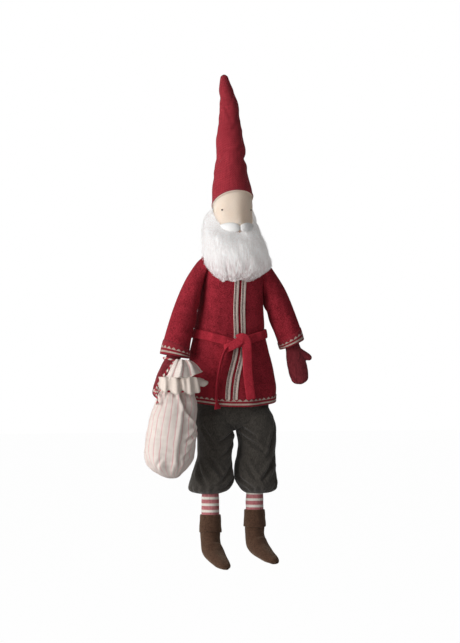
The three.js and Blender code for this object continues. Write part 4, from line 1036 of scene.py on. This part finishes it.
SACK = [  # height, x, y, half width, half depth
    (SACK_BOTTOM, -94.7, -37, 5, 3), (125, -96, -37, 11, 7), (128, -97.8, -37, 15.4, 9.8),
    (134, -99.2, -37, 22.6, 15.4),
    (141, -99.2, -37, 28.4, 20), (150, -98.4, -37, 33, 23), (166, -97.5, -37, 34.2, 24.6), (186, -95, -37, 34, 24.4),
    (206, -92, -37, 32.3, 22.4), (222, -89.8, -37.4, 28.9, 19), (232, -90, -38.2, 24.8, 14.2),
    (239, -89, -39, 21.8, 11.2), (244, -88.4, -40, 20.6, 10.4), (SACK_TOP, -88, -40, 21.4, 10.8)]

MAIN_CREASE = [(150, 1.3), (175, 1.25), (187, 1.12), (193, 1.0), (209, 0.47), (217, 0.25), (228, 0.13), (241, 0.06)]
SACK_CREASES = (
    (-1.0, 132, -0.5, 150, 0.5), (0.5, 128, 0.2, 152, 0.6), (1.0, 186, 0.5, 172, 1.4), (0.9, 160, 0.4, 148, 0.7))


def sack_spot(angle, z, lift=0.0):
    """A point on the sack's cloth; angle 0 is its front."""
    body = ease((z - 124) / 14) * ease((241 - z) / 7)
    (crease,) = rows_at(MAIN_CREASE, z)
    off = turned(angle - crease)
    deep = ease((z - 168) / 34)
    fold = -6.5 * deep * ease(off / 0.10) * exp(-max(off - 0.10, 0) / 0.40)
    fold += deep * (1.6 * bell(off, -0.09, 0.12) - 5.5 * bell(off, 0.09, 0.075))
    ridge = turned(angle - mix(0.02, 0.14, (z - 130) / 100))
    fold += 1.5 * ease((226 - z) / 10) * bell(ridge, 0, 0.10) - 1.5 * bell(ridge, 0.26, 0.20)
    fold += sum(creased(angle, z, *line, 34) for line in SACK_CREASES)
    fold += 1.6 * round_noise(angle, 24, z * 0.8, 17, 14) + 0.7 * round_noise(angle, 24, z, 6, 15)
    fold += 1.2 * sin(6 * angle + z / 23) * bell(z, 140, 16)
    neck = ease((z - 226) / 12)
    out = lift + fold * body + neck * (1.6 * cos(14 * angle) + 0.7 * cos(23 * angle + 1))
    return on_ring(rows_at(SACK, z), angle, out, z)


cloth_form("sack_filling_form", wrapped(sack_spot, 127, 234, -4.0), 40, 30, wadding, "sack", "sack_filling", shut=True)
sack = cloth_form("sack_cloth_bag", wrapped(sack_spot, SACK_BOTTOM, SACK_TOP), 120, 72, striped_linen, "sack",
                  "sack_cloth")
bm = bmesh.new()
bm.from_mesh(sack.data)
bmesh.ops.holes_fill(bm, edges=[e for e in bm.edges if e.is_boundary and e.verts[0].co.z < -0.5])  # its bottom
bm.to_mesh(sack.data)
bm.free()


# The mouth above the tie: its back stands up and folds over forward, its front flops down in pleats
def fold_over_place(u, w):
    across = 2 * u - 1
    tie = Vector((mix(-106, -72, u), -36 - 3 * (1 - across * across), 244))
    crest = Vector((mix(-91, -74.5, u), -43 - 2 * (1 - across * across), 281.2 - 1.4 * u))
    hem_line = along_path([(-108, -47, 250.6), (-102.3, -54, 254.2), (-92, -58, 256.6), (-79.5, -58, 256.2),
                           (-68.2, -54, 260.5), (-56, -46, 264.6)], u)
    pleat = sin(17 * u + 0.6) + 0.5 * sin(31 * u + 2)
    if w < 0.4:
        t = w / 0.4
        spot = tie.lerp(crest, t) + Vector((0, 5 * sin(pi * t), 0))
        depth = 0.8 + 1.2 * t
    else:
        t = (w - 0.4) / 0.6
        spot = crest.lerp(hem_line, t) + Vector((0, -5.0 * sin(pi * t) * (1 - across * across), 0))
        spot.z += 3.2 * sin(pi * t)
        depth = mix(2.0, 1.5, t)
    spot.y -= depth * pleat * (1 - across ** 4)
    spot.z += 0.5 * pleat * w
    return spot


frill_upper = cloth_form("sack_frill_fold", fold_over_place, 64, 44, striped_linen, "sack", "sack_frill",
                         wrap=False, wall=1.0)


# The hem of the front pleats, from the back on the left round to the ear on the right
FLOUNCE = [
    (-112, -33, 248), (-114, -43, 243.6), (-110, -54, 236.9), (-104.7, -54, 241.2), (-100.5, -56, 237.5),
    (-95.8, -61, 234.6), (-91.5, -60, 238.0), (-88.0, -57, 241.4), (-84.6, -59.5, 239.0), (-80.5, -59.5, 236.2),
    (-76.1, -61, 234.6), (-69.5, -57.5, 236.4), (-63.1, -57, 237.3), (-61.2, -52, 245.0), (-55.3, -50.5, 244.7),
    (-49.6, -48, 248.0), (-48.3, -42, 250.8), (-55.2, -36, 253.5)]


def frill_place(u, w):
    angle = mix(-1.8, 1.7, u)
    neck = Vector((-88.4 + 19 * sin(angle), -39.6 - 9.5 * cos(angle), 243.5))
    hem_at = along_path(FLOUNCE, u)
    crest = Vector((mix(neck.x, hem_at.x, 0.82), hem_at.y + 3.5,
                    max(257.5 - 0.25 * max(hem_at.x + 66, 0), hem_at.z + 2)))
    if w < 0.35:
        return neck.lerp(crest, sin(pi / 2 * w / 0.35))
    t = (w - 0.35) / 0.65
    return crest.lerp(hem_at, t) + Vector((0, -2.0 * sin(pi * t), 0))


frill_lower = cloth_form("sack_frill_pleats", frill_place, 140, 24, plain_linen, "sack", wrap=False, wall=1.0)


def roll(name, edge, thick, steps):
    """A rolled hem along a free edge of the mouth."""
    return cloth_form(name, lambda u, w: tube_point(*frame_along(edge, w, 0.004), thick, u), 8, steps, hem_linen,
                      "sack", levels=0)


fold_hem = roll("sack_frill_fold_hem", lambda w: fold_over_place(w, 1.0), 0.8, 80)
pleats_hem = roll("sack_frill_pleats_hem", lambda w: frill_place(w, 1.0), 0.75, 160)

# ---------------------------------------------------------------- drawstring
TWINE = 2.6  # thickness
LAY = 7.4  # the length of one turn of its plies


def cotton(tree):
    fibre = grain(tree, object_mm(tree), 1.6, 3.0)
    return fibre, fibre


def ply_figure(tree, cream):
    """Two plies laid round each other, one of them red."""
    place = axes(tree, cloth_mm(tree))
    lay = plus(tree, divided(tree, place[1], LAY), divided(tree, place[0], 8.2))
    red_ply = contrast(tree, size_of(tree, minus(tree, fraction(tree, lay), 0.5)), 0.22, 0.28)
    red = blend_colours(tree, cotton(tree)[0], (0.36, 0.014, 0.03), (0.66, 0.05, 0.085))
    return blend_colours(tree, red_ply, cream, red)


twine = cloth("twine", cotton, (0.60, 0.52, 0.44), (0.92, 0.86, 0.78), (0, 1), 0.25, 0.8, 0.2, figure=ply_figure)


def rope(name, solid, points, body="sack", thick=TWINE, steps=60, closed=False):
    """A two-ply cord laid along a path, with its lay cut into its shape."""
    def path(t):
        return along_path(points, t)
    length = sum((path((i + 1) / 60) - path(i / 60)).length for i in range(60))

    def place(u, w):
        end = 1 if closed else min(1, 1.0 - max(0, abs(2 * w - 1) - 0.985) / 0.015 * 0.8)
        r = thick / 2 * (1 + 0.17 * cos(2 * TAU * u + TAU * w * length / LAY)) * end
        return tube_point(*frame_along(path, w, 0.01), r, u)
    return cloth_form(name, place, 14, steps, twine, body, solid, levels=0)


WINDING_Z, NECK_X, NECK_Y = 238.8, -88.8, -39.2
WIND_A, WIND_B = 23.4, 13.0
rope("drawstring_winding_cord", "drawstring_winding", [
    (NECK_X - WIND_A * cos(TAU * t), NECK_Y + WIND_B * sin(TAU * t), WINDING_Z + 3.2 * (t - 1))
    for t in [0.03 + 1.94 * k / 48 for k in range(49)]], steps=260)
KNOT_AT = Vector((NECK_X - 23.5 - 1.3 - 3.5, -37, WINDING_Z - 1))


def overhand(name, solid, middle, size, tilt, thick=TWINE):
    """A small overhand knot: three lobes of cord drawn tight."""
    path = []
    for k in range(40):
        t = TAU * k / 39
        spot = Vector((sin(t) + 2 * sin(2 * t), -sin(3 * t) * 0.9, cos(t) - 2 * cos(2 * t)))
        spot.rotate(Matrix.Rotation(tilt, 3, "Y"))
        path.append(middle + spot * size / 3)
    rope(name, solid, path, thick=thick, steps=150, closed=True)


overhand("drawstring_knot_cord", "drawstring_knot", KNOT_AT, 2.6, 0.4)
HAND_X = -(66.5 + 104) / 2
STRAND_TOP = Vector((HAND_X - 3, -14 - 7.5 - TWINE - 2.7, 275))
lean = atan2(KNOT_AT.x - STRAND_TOP.x, -(KNOT_AT.z - STRAND_TOP.z))
for name, shift in (("outer", -1.9), ("inner", 1.9)):
    offset = Vector((shift * cos(lean), 0, shift * sin(lean)))
    path = []
    for share, y in ((0.06, KNOT_AT.y - 1), (0.35, STRAND_TOP.y - 1), (0.7, STRAND_TOP.y - 0.6), (1, STRAND_TOP.y)):
        spot = KNOT_AT.lerp(STRAND_TOP, share)
        path.append((spot.x + offset.x, y, spot.z + offset.z))
    rope(f"drawstring_strand_{name}_cord", f"drawstring_strand_{name}", path, thick=3.1, steps=90)
END_KNOT = Vector((KNOT_AT.x - 2, KNOT_AT.y - 14, KNOT_AT.z - 15))
rope("drawstring_tail_cord", "drawstring_tail", [
    (KNOT_AT.x - 0.5, KNOT_AT.y - 2.5, KNOT_AT.z - 0.5), (KNOT_AT.x - 1.6, KNOT_AT.y - 9, KNOT_AT.z - 4),
    (KNOT_AT.x - 2.4, KNOT_AT.y - 13, KNOT_AT.z - 9), (END_KNOT.x, END_KNOT.y, END_KNOT.z + 1)], thick=2.2)
overhand("drawstring_end_knot_cord", "drawstring_end_knot", END_KNOT, 1.7, 1.0, 2.0)

# The loop round the wrist, above the thumb
cuff, way, across = hands["right"]
loop_middle = cuff + way * (cuff.z - 277)
rope("wrist_loop_cord", "wrist_loop", [
    loop_middle + across * 12.4 * cos(t) + Vector((0, 9.0 * sin(t), 0)) + way * 0.8 * sin(t)
    for t in [TAU * k / 40 for k in range(41)]], "arm_right", thick=2.4, steps=130, closed=True)

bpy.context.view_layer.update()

# The free cloths, listed with a share each; the loop over them and the sides does nothing.
for stem, fill in (("sleeve_{}_cloth", 0.7), ("mitten_{}_knit", 0.5), ("trouser_leg_{}_cloth", 0.4),
                   ("leg_{}_sock", 0.9), ("boot_{}_suede", 0.8)):
    for side in SIDES:
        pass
